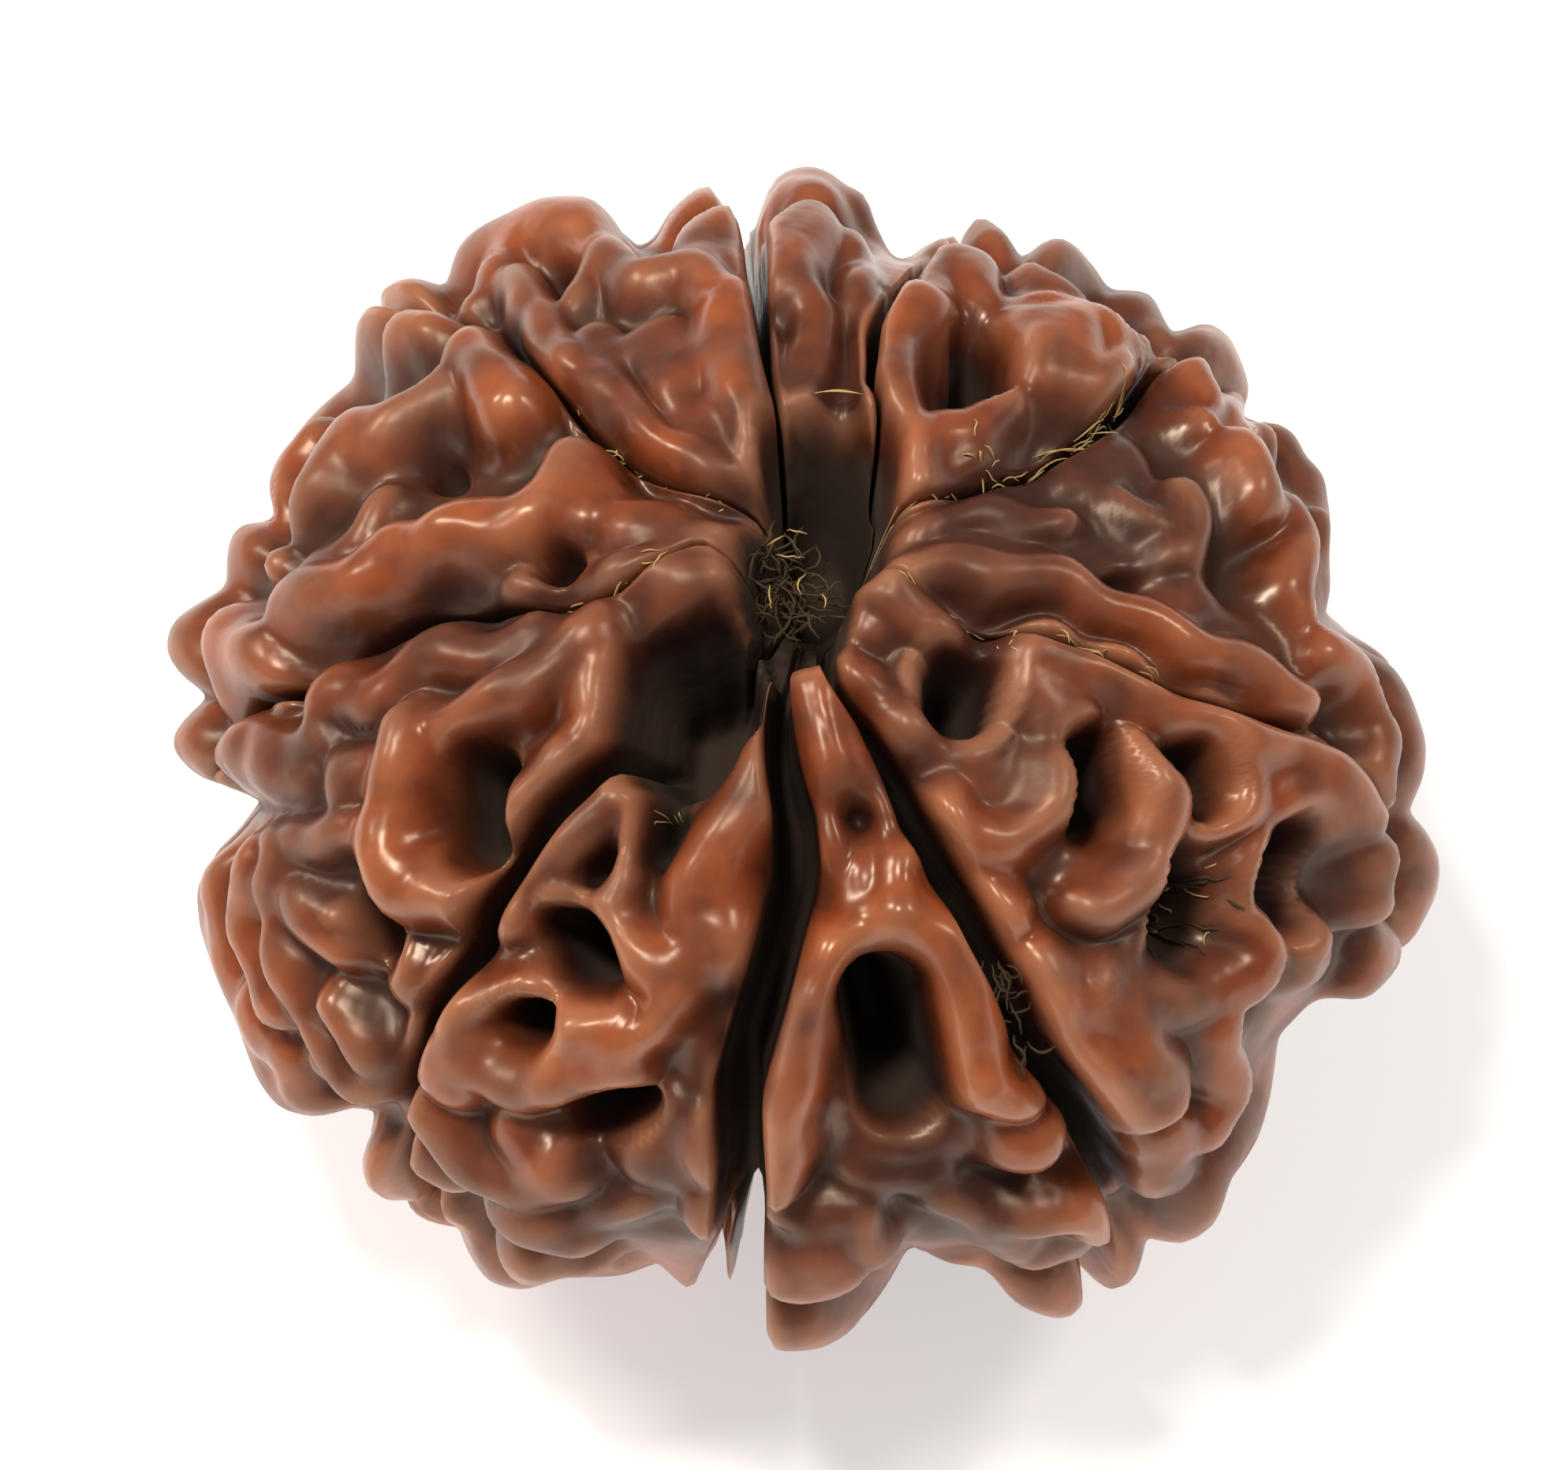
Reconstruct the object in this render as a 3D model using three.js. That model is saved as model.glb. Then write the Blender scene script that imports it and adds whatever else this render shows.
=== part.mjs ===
// An eight mukhi rudraksha bead: one dried nut, its lobes, clefts, ridges and pits raised from an
// oblate skin by a formula. Millimetres, +Z up along the thread hole, stem pole on top.
// The side seen in the photograph is traced by hand in photograph pixels. The unseen side repeats
// those strokes turned half round about X, with each cleft carried on to meet its own. The belt
// beyond the outline, which neither side's strokes reach, carries short ridges from a fixed seed.

import * as THREE from "three";

// Driving dimensions
const WAIST_RADIUS = 12.5; // skin over the lobes' crests, at the waist
const POLE_HEIGHT = 9.6; // skin above the middle, at a pole
const HOLE_RADIUS = 0.65; // thread hole
const HOLE_OFFSET = [0.45, 0.15]; // the hole's mouth lies a little off the middle
const HOLE_OFFSET_REACH = 5; // the offset fades out this far from the axis
const LOBE_FLOOR = -1.4; // lobes' own surface between their ridges, from the skin
const PIT_FLOOR_SHARE = 0.55; // share of a pit's half width that is its floor
const PIT_WALL_SLOPE = 5;
const AFTER_RIDGES = 0.8; // a pit is cut again through the ridges, this share as wide
const BLEND = 0.35; // width over which a pit or the rim runs into what is beside it
const RIDGE_BLEND = 0.6; // ridges run into each other more softly
const RIDGE_POWER = 2; // of a ridge's section: 2 is half round, more is flatter on top
const SHOULDER = 0.88; // share of a ridge's half width that is curved; its flank is straight
const GRAIN_HEIGHT = 0.12; // slow unevenness of the lobes' surface
const WANDER = 0.13; // how far the ridges' and pits' lines wander sideways
const CLEFT_START = 0.3; // a cleft's share of its width near a pole
const RIM_DEG = 10; // the rim that makes the outline has fallen by RIM_FALL this far to its side
const RIM_FALL = 1.1;
const RIM_REACH = 2.5; // and ends at this many times as far
const BELT_RIDGES = 80; // short ridges on the belt beyond the outline, where no stroke reaches
const BELT_SEED = 8;
const REST_HEIGHT = -9.05; // lowest knobs are worn flat here, below the middle
const REST_SNAP = 0.06; // corners this near the flat are set on it

const BELT_LEAN_DEG = [-30, 13]; // from the outline's plane, towards the eye
const BELT_HALF = [0.45, 0.85];
const BELT_CREST = [-0.7, -0.05];
const BELT_STEPS = 5; // most points of a belt ridge
const BELT_STEP = 0.055; // radians from one to the next
const BELT_BEND = 0.9; // most turn between steps, radians
const CLEFT_OPENS_DEG = [12, 36]; // angles from a pole between which it opens to its full width
const RIM_HALF_LIMIT = 0.2; // most half width of a cleft near a pole, radians
const LEAST_FORESHORTENING = 0.05;
const RIDGE_REACH = 2.5; // a ridge's flank has met the floor this far from its side
const PIT_REACH = 1;
const RANDOM_FACTOR = 16807; // of a plain multiplying random generator
const RANDOM_RANGE = 2147483647;

// Waves over the surface, each as radians per millimetre along X, Y and Z
const GRAIN_WAVES = [[1.3, 0, 0.7], [-0.5, 1.1, 0], [0, 0.9, 1.7]];
const WANDER_WAVES = [ // two for each axis along which the lines wander
  [[0, 1.7, 1.1], [-1.4, 0, 3.3]], [[1.3, 0, 1.9], [3.1, -1.2, 0]], [[2.1, -0.9, 0], [0, 2.9, 1.6]],
];
// Waves of the rim round the outline: share of RIM_DEG, waves in a turn, start
const RIM_WAVES = [[0.6, 7, 0], [0.4, 16, 2]];

// Photograph: 1988 x 1864 pixels, seen from above the waist
const PIXELS_PER_MM = 64.8;
const MIDDLE_PIXEL = [1018, 961];
const VIEW_HEIGHT_DEG = 56;
const VIEW_DISTANCE = 300;

// A cleft is [half its width at the mouth mm, depth mm, pixel points from the pole to the outline].
const CLEFTS = {
  top: [0.28, 4.6, [1000, 560], [990, 510], [975, 460], [965, 400], [960, 330], [956, 270]],
  topRight: [0.24, 4.6, [1108, 600], [1110, 540], [1108, 450], [1112, 385], [1138, 335]],
  right: [0.2, 3.4, [1112, 612], [1200, 595], [1290, 560], [1330, 545], [1400, 510], [1450, 470],
    [1488, 425]],
  lowerRight: [0.19, 3.2, [1120, 700], [1180, 742], [1220, 770], [1300, 782], [1400, 812], [1460, 842],
    [1520, 865], [1600, 893], [1660, 912], [1720, 935], [1785, 1035]],
  frontRight: [0.4, 4.8, [1055, 850], [1100, 905], [1140, 970], [1170, 1040], [1225, 1135],
    [1270, 1220], [1294, 1263], [1324, 1336], [1397, 1433], [1440, 1512], [1448, 1570]],
  front: [0.56, 3.9, [985, 850], [990, 950], [1005, 1020], [1008, 1100], [985, 1200], [957, 1300],
    [930, 1400], [930, 1450], [934, 1510], [930, 1600]],
  lowerLeft: [0.36, 4.5, [940, 770], [870, 850], [800, 910], [745, 965], [686, 1020], [620, 1110],
    [576, 1200], [540, 1260], [505, 1315], [485, 1395]],
  left: [0.15, 3, [940, 690], [880, 676], [760, 738], [690, 745], [600, 742], [500, 750], [430, 780],
    [380, 820], [350, 855], [275, 877]],
  upperLeft: [0.15, 2.8, [960, 605], [930, 600], [860, 585], [800, 556], [750, 515], [700, 465],
    [650, 413], [620, 375], [585, 370]],
};
const CLEFT_NAMES = Object.keys(CLEFTS);
// Each cleft's hidden half is the turned copy of this one.
const TURNED_PARTNER = {
  top: "front", topRight: "frontRight", right: "lowerRight", lowerRight: "right",
  frontRight: "topRight", front: "top", lowerLeft: "upperLeft", left: "left", upperLeft: "lowerLeft",
};
const FALSE_CLEFT = "lowerLeft"; // fades out on the underside
const FALSE_CLEFT_END_DEG = 115; // from the upper pole

// The bead's outline in the photograph, from the top clockwise.
const OUTLINE = [
  [972, 250], [985, 220], [1025, 207], [1050, 215], [1070, 235], [1095, 240], [1105, 280], [1130, 330],
  [1160, 330], [1175, 305], [1205, 293], [1240, 268], [1265, 285], [1295, 335], [1325, 302],
  [1350, 298], [1375, 325], [1405, 365], [1460, 368], [1472, 400], [1485, 428], [1500, 420],
  [1530, 405], [1560, 425], [1572, 460], [1583, 495], [1565, 533], [1600, 528], [1640, 545],
  [1655, 580], [1675, 595], [1685, 640], [1683, 700], [1685, 740], [1675, 778], [1700, 800],
  [1740, 825], [1770, 845], [1790, 880], [1810, 940], [1808, 980], [1785, 1035], [1810, 1055],
  [1828, 1090], [1825, 1130], [1805, 1170], [1766, 1239], [1730, 1270], [1682, 1262], [1657, 1276],
  [1615, 1320], [1608, 1390], [1591, 1445], [1558, 1500], [1542, 1554], [1506, 1579], [1448, 1565],
  [1442, 1620], [1400, 1655], [1345, 1675], [1290, 1655], [1250, 1608], [1200, 1603], [1150, 1576],
  [1125, 1620], [1075, 1690], [1040, 1712], [960, 1715], [925, 1660], [938, 1590], [934, 1500],
  [922, 1590], [880, 1640], [835, 1598], [780, 1618], [707, 1618], [660, 1638], [618, 1627],
  [595, 1590], [585, 1557], [515, 1547], [465, 1510], [458, 1480], [488, 1408], [450, 1403],
  [400, 1418], [350, 1405], [325, 1370], [300, 1300], [275, 1240], [252, 1180], [248, 1130],
  [265, 1095], [300, 1065], [345, 1010], [260, 988], [212, 945], [225, 920], [275, 877], [235, 860],
  [207, 825], [215, 790], [290, 745], [290, 690], [300, 665], [355, 660], [342, 610], [355, 575],
  [400, 520], [455, 475], [450, 400], [475, 365], [520, 350], [568, 368], [580, 310], [600, 290],
  [640, 270], [680, 250], [745, 248], [770, 270], [805, 320], [838, 300], [850, 270], [880, 240],
  [915, 228], [940, 250], [956, 320],
];

// A ridge or pit is [half width mm, crest or floor from the skin mm, pixel points along it].
const RIDGES = {
  top: [
    [0.62, -0.15, [1020, 240], [1010, 290], [1005, 335]],
    [0.3, -0.6, [1080, 250], [1098, 310], [1104, 375]],
    [0.5, -0.6, [1035, 350], [1012, 410], [1008, 470], [1022, 525]],
    [0.45, -1.5, [1070, 370], [1062, 460]],
  ],
  topRight: [
    [0.46, -0.1, [1163, 352], [1135, 400], [1142, 460], [1158, 520], [1160, 572]],
    [0.3, -0.5, [1165, 582], [1200, 562], [1242, 545]],
    [0.36, -0.35, [1180, 535], [1215, 516], [1260, 508], [1285, 485]],
    [0.4, -0.3, [1285, 482]],
    [0.42, -0.5, [1200, 305], [1190, 345]],
    [0.5, -0.4, [1240, 290], [1262, 335]],
    [0.75, 0.1, [1335, 390], [1345, 425]],
    [0.5, -0.1, [1318, 425], [1340, 462], [1400, 462], [1425, 440]],
    [0.36, -0.1, [1340, 352], [1400, 397]],
    [0.42, -0.2, [1395, 405], [1437, 405]],
    [0.38, -0.3, [1330, 318], [1378, 345]],
    [0.25, -0.5, [1455, 385]],
  ],
  right: [
    [0.6, -0.2, [1525, 435], [1545, 470]],
    [0.35, -0.3, [1548, 512]],
    [0.66, 0, [1592, 565], [1618, 600]],
    [0.3, -0.4, [1520, 598], [1540, 650], [1548, 692]],
    [0.4, -0.3, [1664, 608], [1678, 680], [1672, 760]],
    [0.36, -0.6, [1440, 600], [1498, 640], [1520, 685]],
    [0.22, -0.8, [1565, 728], [1526, 754], [1530, 790]],
    [0.7, -1.0, [1400, 560], [1465, 535]],
    [0.4, -1.1, [1525, 705], [1525, 730]],
    [0.42, -0.7, [1190, 628], [1290, 620], [1370, 640]],
    [0.34, -0.7, [1145, 652], [1190, 632]],
    [0.45, -0.9, [1160, 672], [1250, 665], [1340, 685]],
    [0.32, -0.15, [1135, 698], [1200, 697], [1250, 705], [1310, 715], [1370, 727], [1430, 760],
      [1500, 795], [1580, 832], [1640, 862], [1685, 888]],
    [0.7, -1.0, [1590, 770], [1660, 800]],
    [0.55, -0.2, [1706, 810], [1755, 855], [1782, 920], [1780, 985]],
  ],
  lowerRight: [
    [0.42, -0.2, [1095, 702], [1148, 737], [1190, 785]],
    [0.4, -0.5, [1075, 730], [1062, 775], [1105, 770]],
    [0.28, -0.4, [1042, 792], [1062, 820], [1110, 842], [1142, 882], [1160, 925]],
    [0.3, -0.3, [1172, 830], [1170, 895], [1192, 935], [1225, 940], [1262, 915], [1290, 880], [1303, 825]],
    [0.36, -0.1, [1300, 815], [1350, 810], [1400, 835], [1450, 868], [1500, 893], [1550, 905],
      [1600, 928], [1645, 948], [1700, 965], [1760, 1008]],
    [0.75, -0.3, [1350, 865], [1365, 905]],
    [0.85, -0.5, [1225, 985], [1300, 960]],
    [0.36, 0, [1465, 955], [1480, 1025], [1488, 1080], [1455, 1112], [1403, 1150]],
    [0.26, -0.2, [1560, 925], [1610, 965], [1602, 1020], [1545, 1040]],
    [0.5, -0.3, [1645, 1005], [1700, 1015], [1760, 1030]],
    [0.34, 0, [1200, 1030], [1222, 1062], [1290, 1052], [1332, 1022], [1350, 960]],
    [0.36, -0.2, [1185, 1000], [1228, 1090], [1288, 1190]],
    [0.5, -0.6, [1270, 1110], [1300, 1160]],
    [0.5, -0.7, [1340, 1090], [1400, 1100]],
    [0.3, -0.5, [1632, 1062], [1618, 1120], [1612, 1160], [1640, 1200]],
    [0.5, -0.3, [1440, 1270], [1540, 1290], [1615, 1258], [1645, 1205]],
    [0.3, -0.5, [1490, 1170], [1450, 1215], [1432, 1270]],
    [0.5, -0.2, [1690, 1180], [1700, 1200]],
    [0.66, 0, [1775, 1095], [1770, 1140]],
    [0.4, -0.6, [1720, 1235], [1690, 1240]],
    [0.48, 0.1, [1330, 1250], [1348, 1310], [1395, 1370], [1462, 1430]],
    [0.44, 0.05, [1400, 1255], [1440, 1315], [1490, 1370], [1492, 1410]],
    [0.6, -0.3, [1578, 1330], [1588, 1400], [1562, 1460]],
    [0.6, -0.4, [1500, 1480], [1515, 1530]],
  ],
  front: [
    [0.34, -0.2, [1015, 850], [1045, 910], [1060, 975]],
    [0.32, -0.35, [1045, 860], [1080, 925], [1092, 985]],
    [0.2, -0.6, [1048, 1010], [1060, 1080], [1075, 1130]],
    [0.2, -0.6, [1108, 1010], [1128, 1070], [1142, 1110]],
    [0.36, -0.35, [1105, 1110], [1120, 1145]],
    [0.3, 0, [1148, 1100], [1152, 1150]],
    [0.32, 0.15, [1145, 1158], [1095, 1180], [1055, 1205], [1035, 1260]],
    [0.44, 0.1, [1030, 1275], [1005, 1350], [988, 1420], [978, 1500], [980, 1525]],
    [0.46, 0.15, [1150, 1165], [1200, 1205], [1232, 1255], [1245, 1320], [1248, 1370]],
    [0.42, 0.1, [1235, 1390], [1285, 1405]],
    [0.7, -1.2, [1120, 1510], [1200, 1500]],
    [0.5, -0.9, [1110, 1540], [1210, 1545]],
    [0.45, -0.3, [1290, 1470], [1340, 1470]],
    [0.5, -0.2, [1320, 1570], [1370, 1565], [1415, 1590]],
    [0.6, -0.7, [1225, 1575], [1310, 1625]],
    [0.5, -0.6, [1340, 1635], [1405, 1625]],
    [0.34, -0.6, [975, 1580], [1000, 1600], [1060, 1585]],
    [0.8, -0.1, [1000, 1650], [1035, 1640]],
    [0.3, -0.4, [1092, 1580], [1105, 1620]],
  ],
  lowerLeft: [
    [0.3, -0.4, [972, 872], [965, 920], [950, 960]],
    [0.62, 0, [945, 985], [925, 1040], [905, 1110]],
    [0.75, -0.15, [900, 1120], [885, 1210]],
    [0.32, -0.3, [782, 968], [745, 1005], [715, 1050], [680, 1092], [648, 1140], [628, 1180]],
    [0.28, -0.3, [782, 980], [790, 1045], [785, 1110], [765, 1145]],
    [0.32, -0.3, [700, 1130], [735, 1155], [775, 1150]],
    [0.3, 0.1, [700, 1155], [750, 1187], [800, 1203], [832, 1225], [845, 1270], [830, 1310], [785, 1330],
      [715, 1322]],
    [0.3, 0, [770, 1285], [740, 1318], [700, 1345]],
    [0.34, -0.3, [700, 1355], [745, 1365], [795, 1368]],
    [0.3, 0, [545, 1285], [600, 1270], [655, 1265], [690, 1285], [698, 1330], [682, 1385]],
    [0.42, 0, [560, 1310], [600, 1370], [640, 1395], [672, 1375]],
    [0.66, -0.1, [525, 1355], [550, 1370]],
    [0.42, -0.1, [505, 1415], [545, 1470], [600, 1510], [650, 1530], [697, 1510]],
    [0.6, -0.5, [620, 1450], [650, 1490]],
    [0.6, -0.4, [490, 1485], [545, 1520]],
    [0.75, 0, [655, 1580], [672, 1585]],
    [0.5, -0.7, [740, 1580], [800, 1575]],
    [0.9, -0.7, [815, 1450], [820, 1520]],
    [0.5, -0.9, [870, 1330], [870, 1400]],
    [0.4, -0.5, [885, 1450], [900, 1520]],
    [0.4, -0.5, [880, 1560], [890, 1600]],
  ],
  left: [
    [0.42, -0.15, [775, 712], [850, 704], [922, 705]],
    [0.5, -0.6, [790, 745], [870, 745]],
    [0.62, -0.5, [640, 790], [560, 805], [455, 850], [385, 872]],
    [0.4, -0.2, [745, 775], [735, 830], [755, 880], [785, 930]],
    [0.4, -0.15, [710, 800], [650, 850], [600, 885], [555, 910]],
    [0.34, -0.3, [740, 930], [690, 960], [640, 1000]],
    [0.36, 0.05, [700, 960], [655, 1030], [610, 1095], [562, 1140], [505, 1140], [462, 1105]],
    [0.4, 0.05, [500, 920], [478, 990], [465, 1050], [480, 1105]],
    [0.26, -0.3, [500, 1090], [530, 1120], [568, 1098]],
    [0.6, -0.3, [405, 985], [430, 975]],
    [0.45, -0.5, [375, 932], [300, 930], [238, 942]],
    [0.4, -0.6, [350, 985], [260, 975]],
    [0.42, -0.2, [285, 1095], [272, 1140], [275, 1190], [300, 1250], [322, 1290]],
    [0.28, -0.2, [312, 1070], [328, 1100], [312, 1150], [316, 1210], [340, 1265]],
    [0.42, -0.3, [345, 1065], [400, 1052], [440, 1075]],
    [0.28, -0.3, [360, 1130], [342, 1180], [385, 1225]],
    [0.36, -0.4, [385, 1165]],
    [0.3, -0.3, [345, 1290], [368, 1335], [405, 1385], [435, 1395]],
    [0.4, -0.3, [400, 1300], [432, 1350]],
    [0.5, -0.5, [370, 1380]],
    [0.5, -0.6, [450, 1200], [480, 1260]],
  ],
  upperLeft: [
    [0.62, 0, [540, 478], [465, 520], [405, 570], [378, 615]],
    [0.62, 0, [505, 402]],
    [0.3, -0.7, [540, 370], [585, 400]],
    [0.5, 0, [585, 432], [618, 455], [632, 492]],
    [0.3, -0.5, [445, 600], [432, 642], [400, 672], [365, 705]],
    [0.62, -0.1, [560, 668], [480, 688], [420, 715], [340, 760]],
    [0.35, -0.3, [322, 682]],
    [0.62, -0.1, [255, 800], [300, 810]],
    [0.4, -0.4, [245, 845], [300, 850]],
    [0.5, 0, [560, 655], [610, 645], [660, 635]],
    [0.5, 0, [665, 625], [700, 570]],
    [0.6, -0.5, [700, 640], [740, 610]],
    [0.4, -0.3, [775, 628], [830, 635], [905, 660]],
    [0.34, -0.4, [770, 655], [850, 665], [915, 670]],
    [0.45, -0.5, [720, 700], [640, 710]],
  ],
  topLeft: [
    [0.42, -0.1, [635, 315], [668, 280], [718, 265], [758, 288], [782, 330]],
    [0.28, -0.3, [660, 322], [628, 330], [640, 362]],
    [0.3, -0.3, [645, 330], [668, 362], [682, 402], [700, 440]],
    [0.34, -0.3, [748, 302], [722, 340]],
    [0.25, -0.5, [592, 300]],
    [0.25, -0.5, [574, 352]],
    [0.5, -0.2, [900, 255], [890, 300]],
    [0.25, -0.4, [928, 250], [938, 310]],
    [0.45, 0, [820, 330], [870, 325], [912, 345]],
    [0.38, 0, [905, 370], [925, 430], [952, 485], [982, 545]],
    [0.9, -0.35, [830, 400], [860, 440]],
    [0.6, -0.5, [880, 490], [925, 550]],
    [0.34, -0.3, [715, 430], [780, 475], [832, 525], [885, 565]],
    [0.5, -0.5, [740, 390], [770, 420]],
  ],
};

// These cut into the ridges beside them too.
const HOLLOWS = [
  [1.3, -5, [1052, 545], [1052, 600], [1046, 650]],
  [0.75, -3.4, [985, 660], [985, 730], [997, 780]],
  [0.75, -3.4, [1038, 690], [1030, 740], [1022, 775]],
  [1.25, -5, [858, 850], [850, 915]],
  [0.75, -5, [905, 812], [895, 875]],
  [0.6, -5, [1125, 1275], [1140, 1350], [1155, 1420]],
];
// These lie between the ridges.
const PITS = [
  [0.3, -3, [822, 1012], [820, 1080]],
  [0.36, -4, [1240, 385], [1252, 440]],
  [0.32, -3, [1460, 712]],
  [0.6, -3.4, [1228, 835], [1232, 880]],
  [0.32, -4, [1410, 955], [1405, 1025]],
  [0.55, -3.2, [1535, 975], [1550, 995]],
  [0.8, -3, [1540, 1110], [1530, 1200]],
  [0.5, -4, [1685, 1080], [1675, 1150]],
  [0.2, -2.4, [1084, 1035]],
  [0.3, -2.6, [740, 1088]],
  [0.4, -4, [705, 1190], [730, 1240]],
  [0.3, -4, [650, 1308]],
  [0.42, -4.4, [580, 975], [572, 1060]],
  [0.3, -3.6, [437, 1150], [440, 1190]],
  [0.3, -3, [710, 305]],
  [0.5, -3.4, [720, 1450], [770, 1420]],
  [0.35, -3, [520, 560]],
  [0.3, -3, [690, 700]],
];

const radians = THREE.MathUtils.degToRad;
const lerp = THREE.MathUtils.lerp;
const skinScale = new THREE.Vector3(WAIST_RADIUS, WAIST_RADIUS, POLE_HEIGHT);
const viewHeight = radians(VIEW_HEIGHT_DEG);
const towardsEye = new THREE.Vector3(0, -Math.cos(viewHeight), Math.sin(viewHeight));
const pictureUp = new THREE.Vector3(0, Math.sin(viewHeight), Math.cos(viewHeight));
const pictureX = (pixel) => (pixel[0] - MIDDLE_PIXEL[0]) / PIXELS_PER_MM;
const pictureY = (pixel) => (MIDDLE_PIXEL[1] - pixel[1]) / PIXELS_PER_MM;

// The photograph's sight line through a pixel, as a point on the skin. A sight line that misses the
// bead gives the nearest point of its outline.
function pixelToSkin(pixel) {
  const eye = towardsEye.clone().multiplyScalar(VIEW_DISTANCE);
  const target = new THREE.Vector3(pictureX(pixel), 0, 0).addScaledVector(pictureUp, pictureY(pixel));
  const start = eye.clone().divide(skinScale);
  const along = target.sub(eye).divide(skinScale).normalize();
  const halfway = -start.dot(along);
  const missSquared = start.lengthSq() - halfway * halfway;
  const reach = halfway - Math.sqrt(Math.max(0, 1 - missSquared));
  return start.addScaledVector(along, reach).normalize().multiply(skinScale);
}

const azimuthOf = (point) => Math.atan2(point.y, point.x);
const turnedAboutX = (point) => new THREE.Vector3(point.x, -point.y, -point.z);
const shortWay = (angle) => Math.atan2(Math.sin(angle), Math.cos(angle));

// How far each cleft's turned partner has to go round to meet the cleft's end.
const carryShifts = CLEFT_NAMES.map((name) => {
  const end = azimuthOf(pixelToSkin(CLEFTS[name].at(-1)));
  const partnerEnd = -azimuthOf(pixelToSkin(CLEFTS[TURNED_PARTNER[name]].at(-1)));
  return { from: partnerEnd, shift: shortWay(end - partnerEnd) };
}).sort((a, b) => a.from - b.from);

function carriedAzimuth(azimuth) {
  const turn = 2 * Math.PI;
  const count = carryShifts.length;
  const next = carryShifts.filter(({ from }) => from <= azimuth).length;
  const before = carryShifts[(next - 1 + count) % count];
  const after = carryShifts[next % count];
  const span = (after.from - before.from + turn) % turn;
  const share = ((azimuth - before.from + turn) % turn) / span;
  return azimuth + lerp(before.shift, after.shift, share);
}

// A point of the seen side, carried to the unseen side.
function carriedPoint(point) {
  const turned = turnedAboutX(point);
  const radius = Math.hypot(turned.x, turned.y);
  const azimuth = carriedAzimuth(azimuthOf(turned));
  return new THREE.Vector3(radius * Math.cos(azimuth), radius * Math.sin(azimuth), turned.z);
}

function makeStroke(half, level, points) {
  const ball = new THREE.Box3().setFromPoints(points).getBoundingSphere(new THREE.Sphere());
  return { half, level, points, middle: ball.center, radius: ball.radius };
}

function bothSides([half, level, ...pixels]) {
  const seen = pixels.map(pixelToSkin);
  return [makeStroke(half, level, seen), makeStroke(half, level, seen.map(carriedPoint))];
}

const ridgeStrokes = Object.values(RIDGES).flat().flatMap(bothSides);
const pitStrokes = PITS.flatMap(bothSides);
const narrowPitStrokes = pitStrokes.map((pit) => ({ ...pit, half: pit.half * AFTER_RIDGES }));
const hollowStrokes = HOLLOWS.flatMap(bothSides);

const nearest = new THREE.Vector3();
const segment = new THREE.Line3();

function distanceToStroke(stroke, point, limit) {
  if (point.distanceTo(stroke.middle) > stroke.radius + limit) return Infinity;
  if (stroke.points.length === 1) return point.distanceTo(stroke.points[0]);
  let least = Infinity;
  for (let i = 1; i < stroke.points.length; i++) {
    segment.set(stroke.points[i - 1], stroke.points[i]);
    least = Math.min(least, segment.closestPointToPoint(point, true, nearest).distanceTo(point));
  }
  return least;
}

// How far a ridge's surface lies below its crest, a distance from its centre line.
function dropFromCrest(distance, half) {
  const share = Math.min(distance / half, SHOULDER);
  const rest = 1 - share ** RIDGE_POWER;
  const slope = share ** (RIDGE_POWER - 1) * rest ** (1 / RIDGE_POWER - 1);
  return half * (1 - rest ** (1 / RIDGE_POWER)) + (distance - share * half) * slope;
}

function blendedMax(a, b, width) {
  const overlap = Math.max(width - Math.abs(a - b), 0);
  return Math.max(a, b) + (overlap * overlap) / (4 * width);
}
const blendedMin = (a, b, width) => -blendedMax(-a, -b, width);

const outwardsAt = (skin) => skin.clone().divide(skinScale).divide(skinScale).normalize();

// The traced outline as distances from the bead's middle, by angle in the picture.
const outlineKnobs = OUTLINE.map((pixel) => ({
  angle: Math.atan2(pictureY(pixel), pictureX(pixel)),
  radius: Math.hypot(pictureX(pixel), pictureY(pixel)),
})).sort((a, b) => a.angle - b.angle);

function outlineRadius(angle) {
  const turn = 2 * Math.PI;
  const count = outlineKnobs.length;
  const next = outlineKnobs.filter((knob) => knob.angle <= angle).length;
  const before = outlineKnobs[(next - 1 + count) % count];
  const after = outlineKnobs[next % count];
  const span = (after.angle - before.angle + turn) % turn;
  return lerp(before.radius, after.radius, ((angle - before.angle + turn) % turn) / span);
}

// Where a point of the skin shows in the photograph, and the room from there to the traced outline,
// measured straight out of the skin.
function seenFromEye(skin) {
  const lean = outwardsAt(skin).dot(towardsEye);
  const nearness = VIEW_DISTANCE / (VIEW_DISTANCE - skin.dot(towardsEye));
  const angle = Math.atan2(skin.dot(pictureUp), skin.x);
  const gap = outlineRadius(angle) / nearness - Math.hypot(skin.x, skin.dot(pictureUp));
  return { lean, angle, room: gap / Math.max(Math.sqrt(1 - lean * lean), LEAST_FORESHORTENING) };
}

// The rim that makes the outline meanders to either side of it.
function rimLevel({ lean, angle, room }) {
  const meander = RIM_WAVES.reduce((sum, [share, waves, start]) =>
    sum + share * Math.sin(waves * angle + start), 0);
  const aside = THREE.MathUtils.radToDeg(Math.asin(lean)) / RIM_DEG - meander;
  return Math.abs(aside) > RIM_REACH ? -Infinity : room + BLEND / 4 - RIM_FALL * aside * aside;
}

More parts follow.
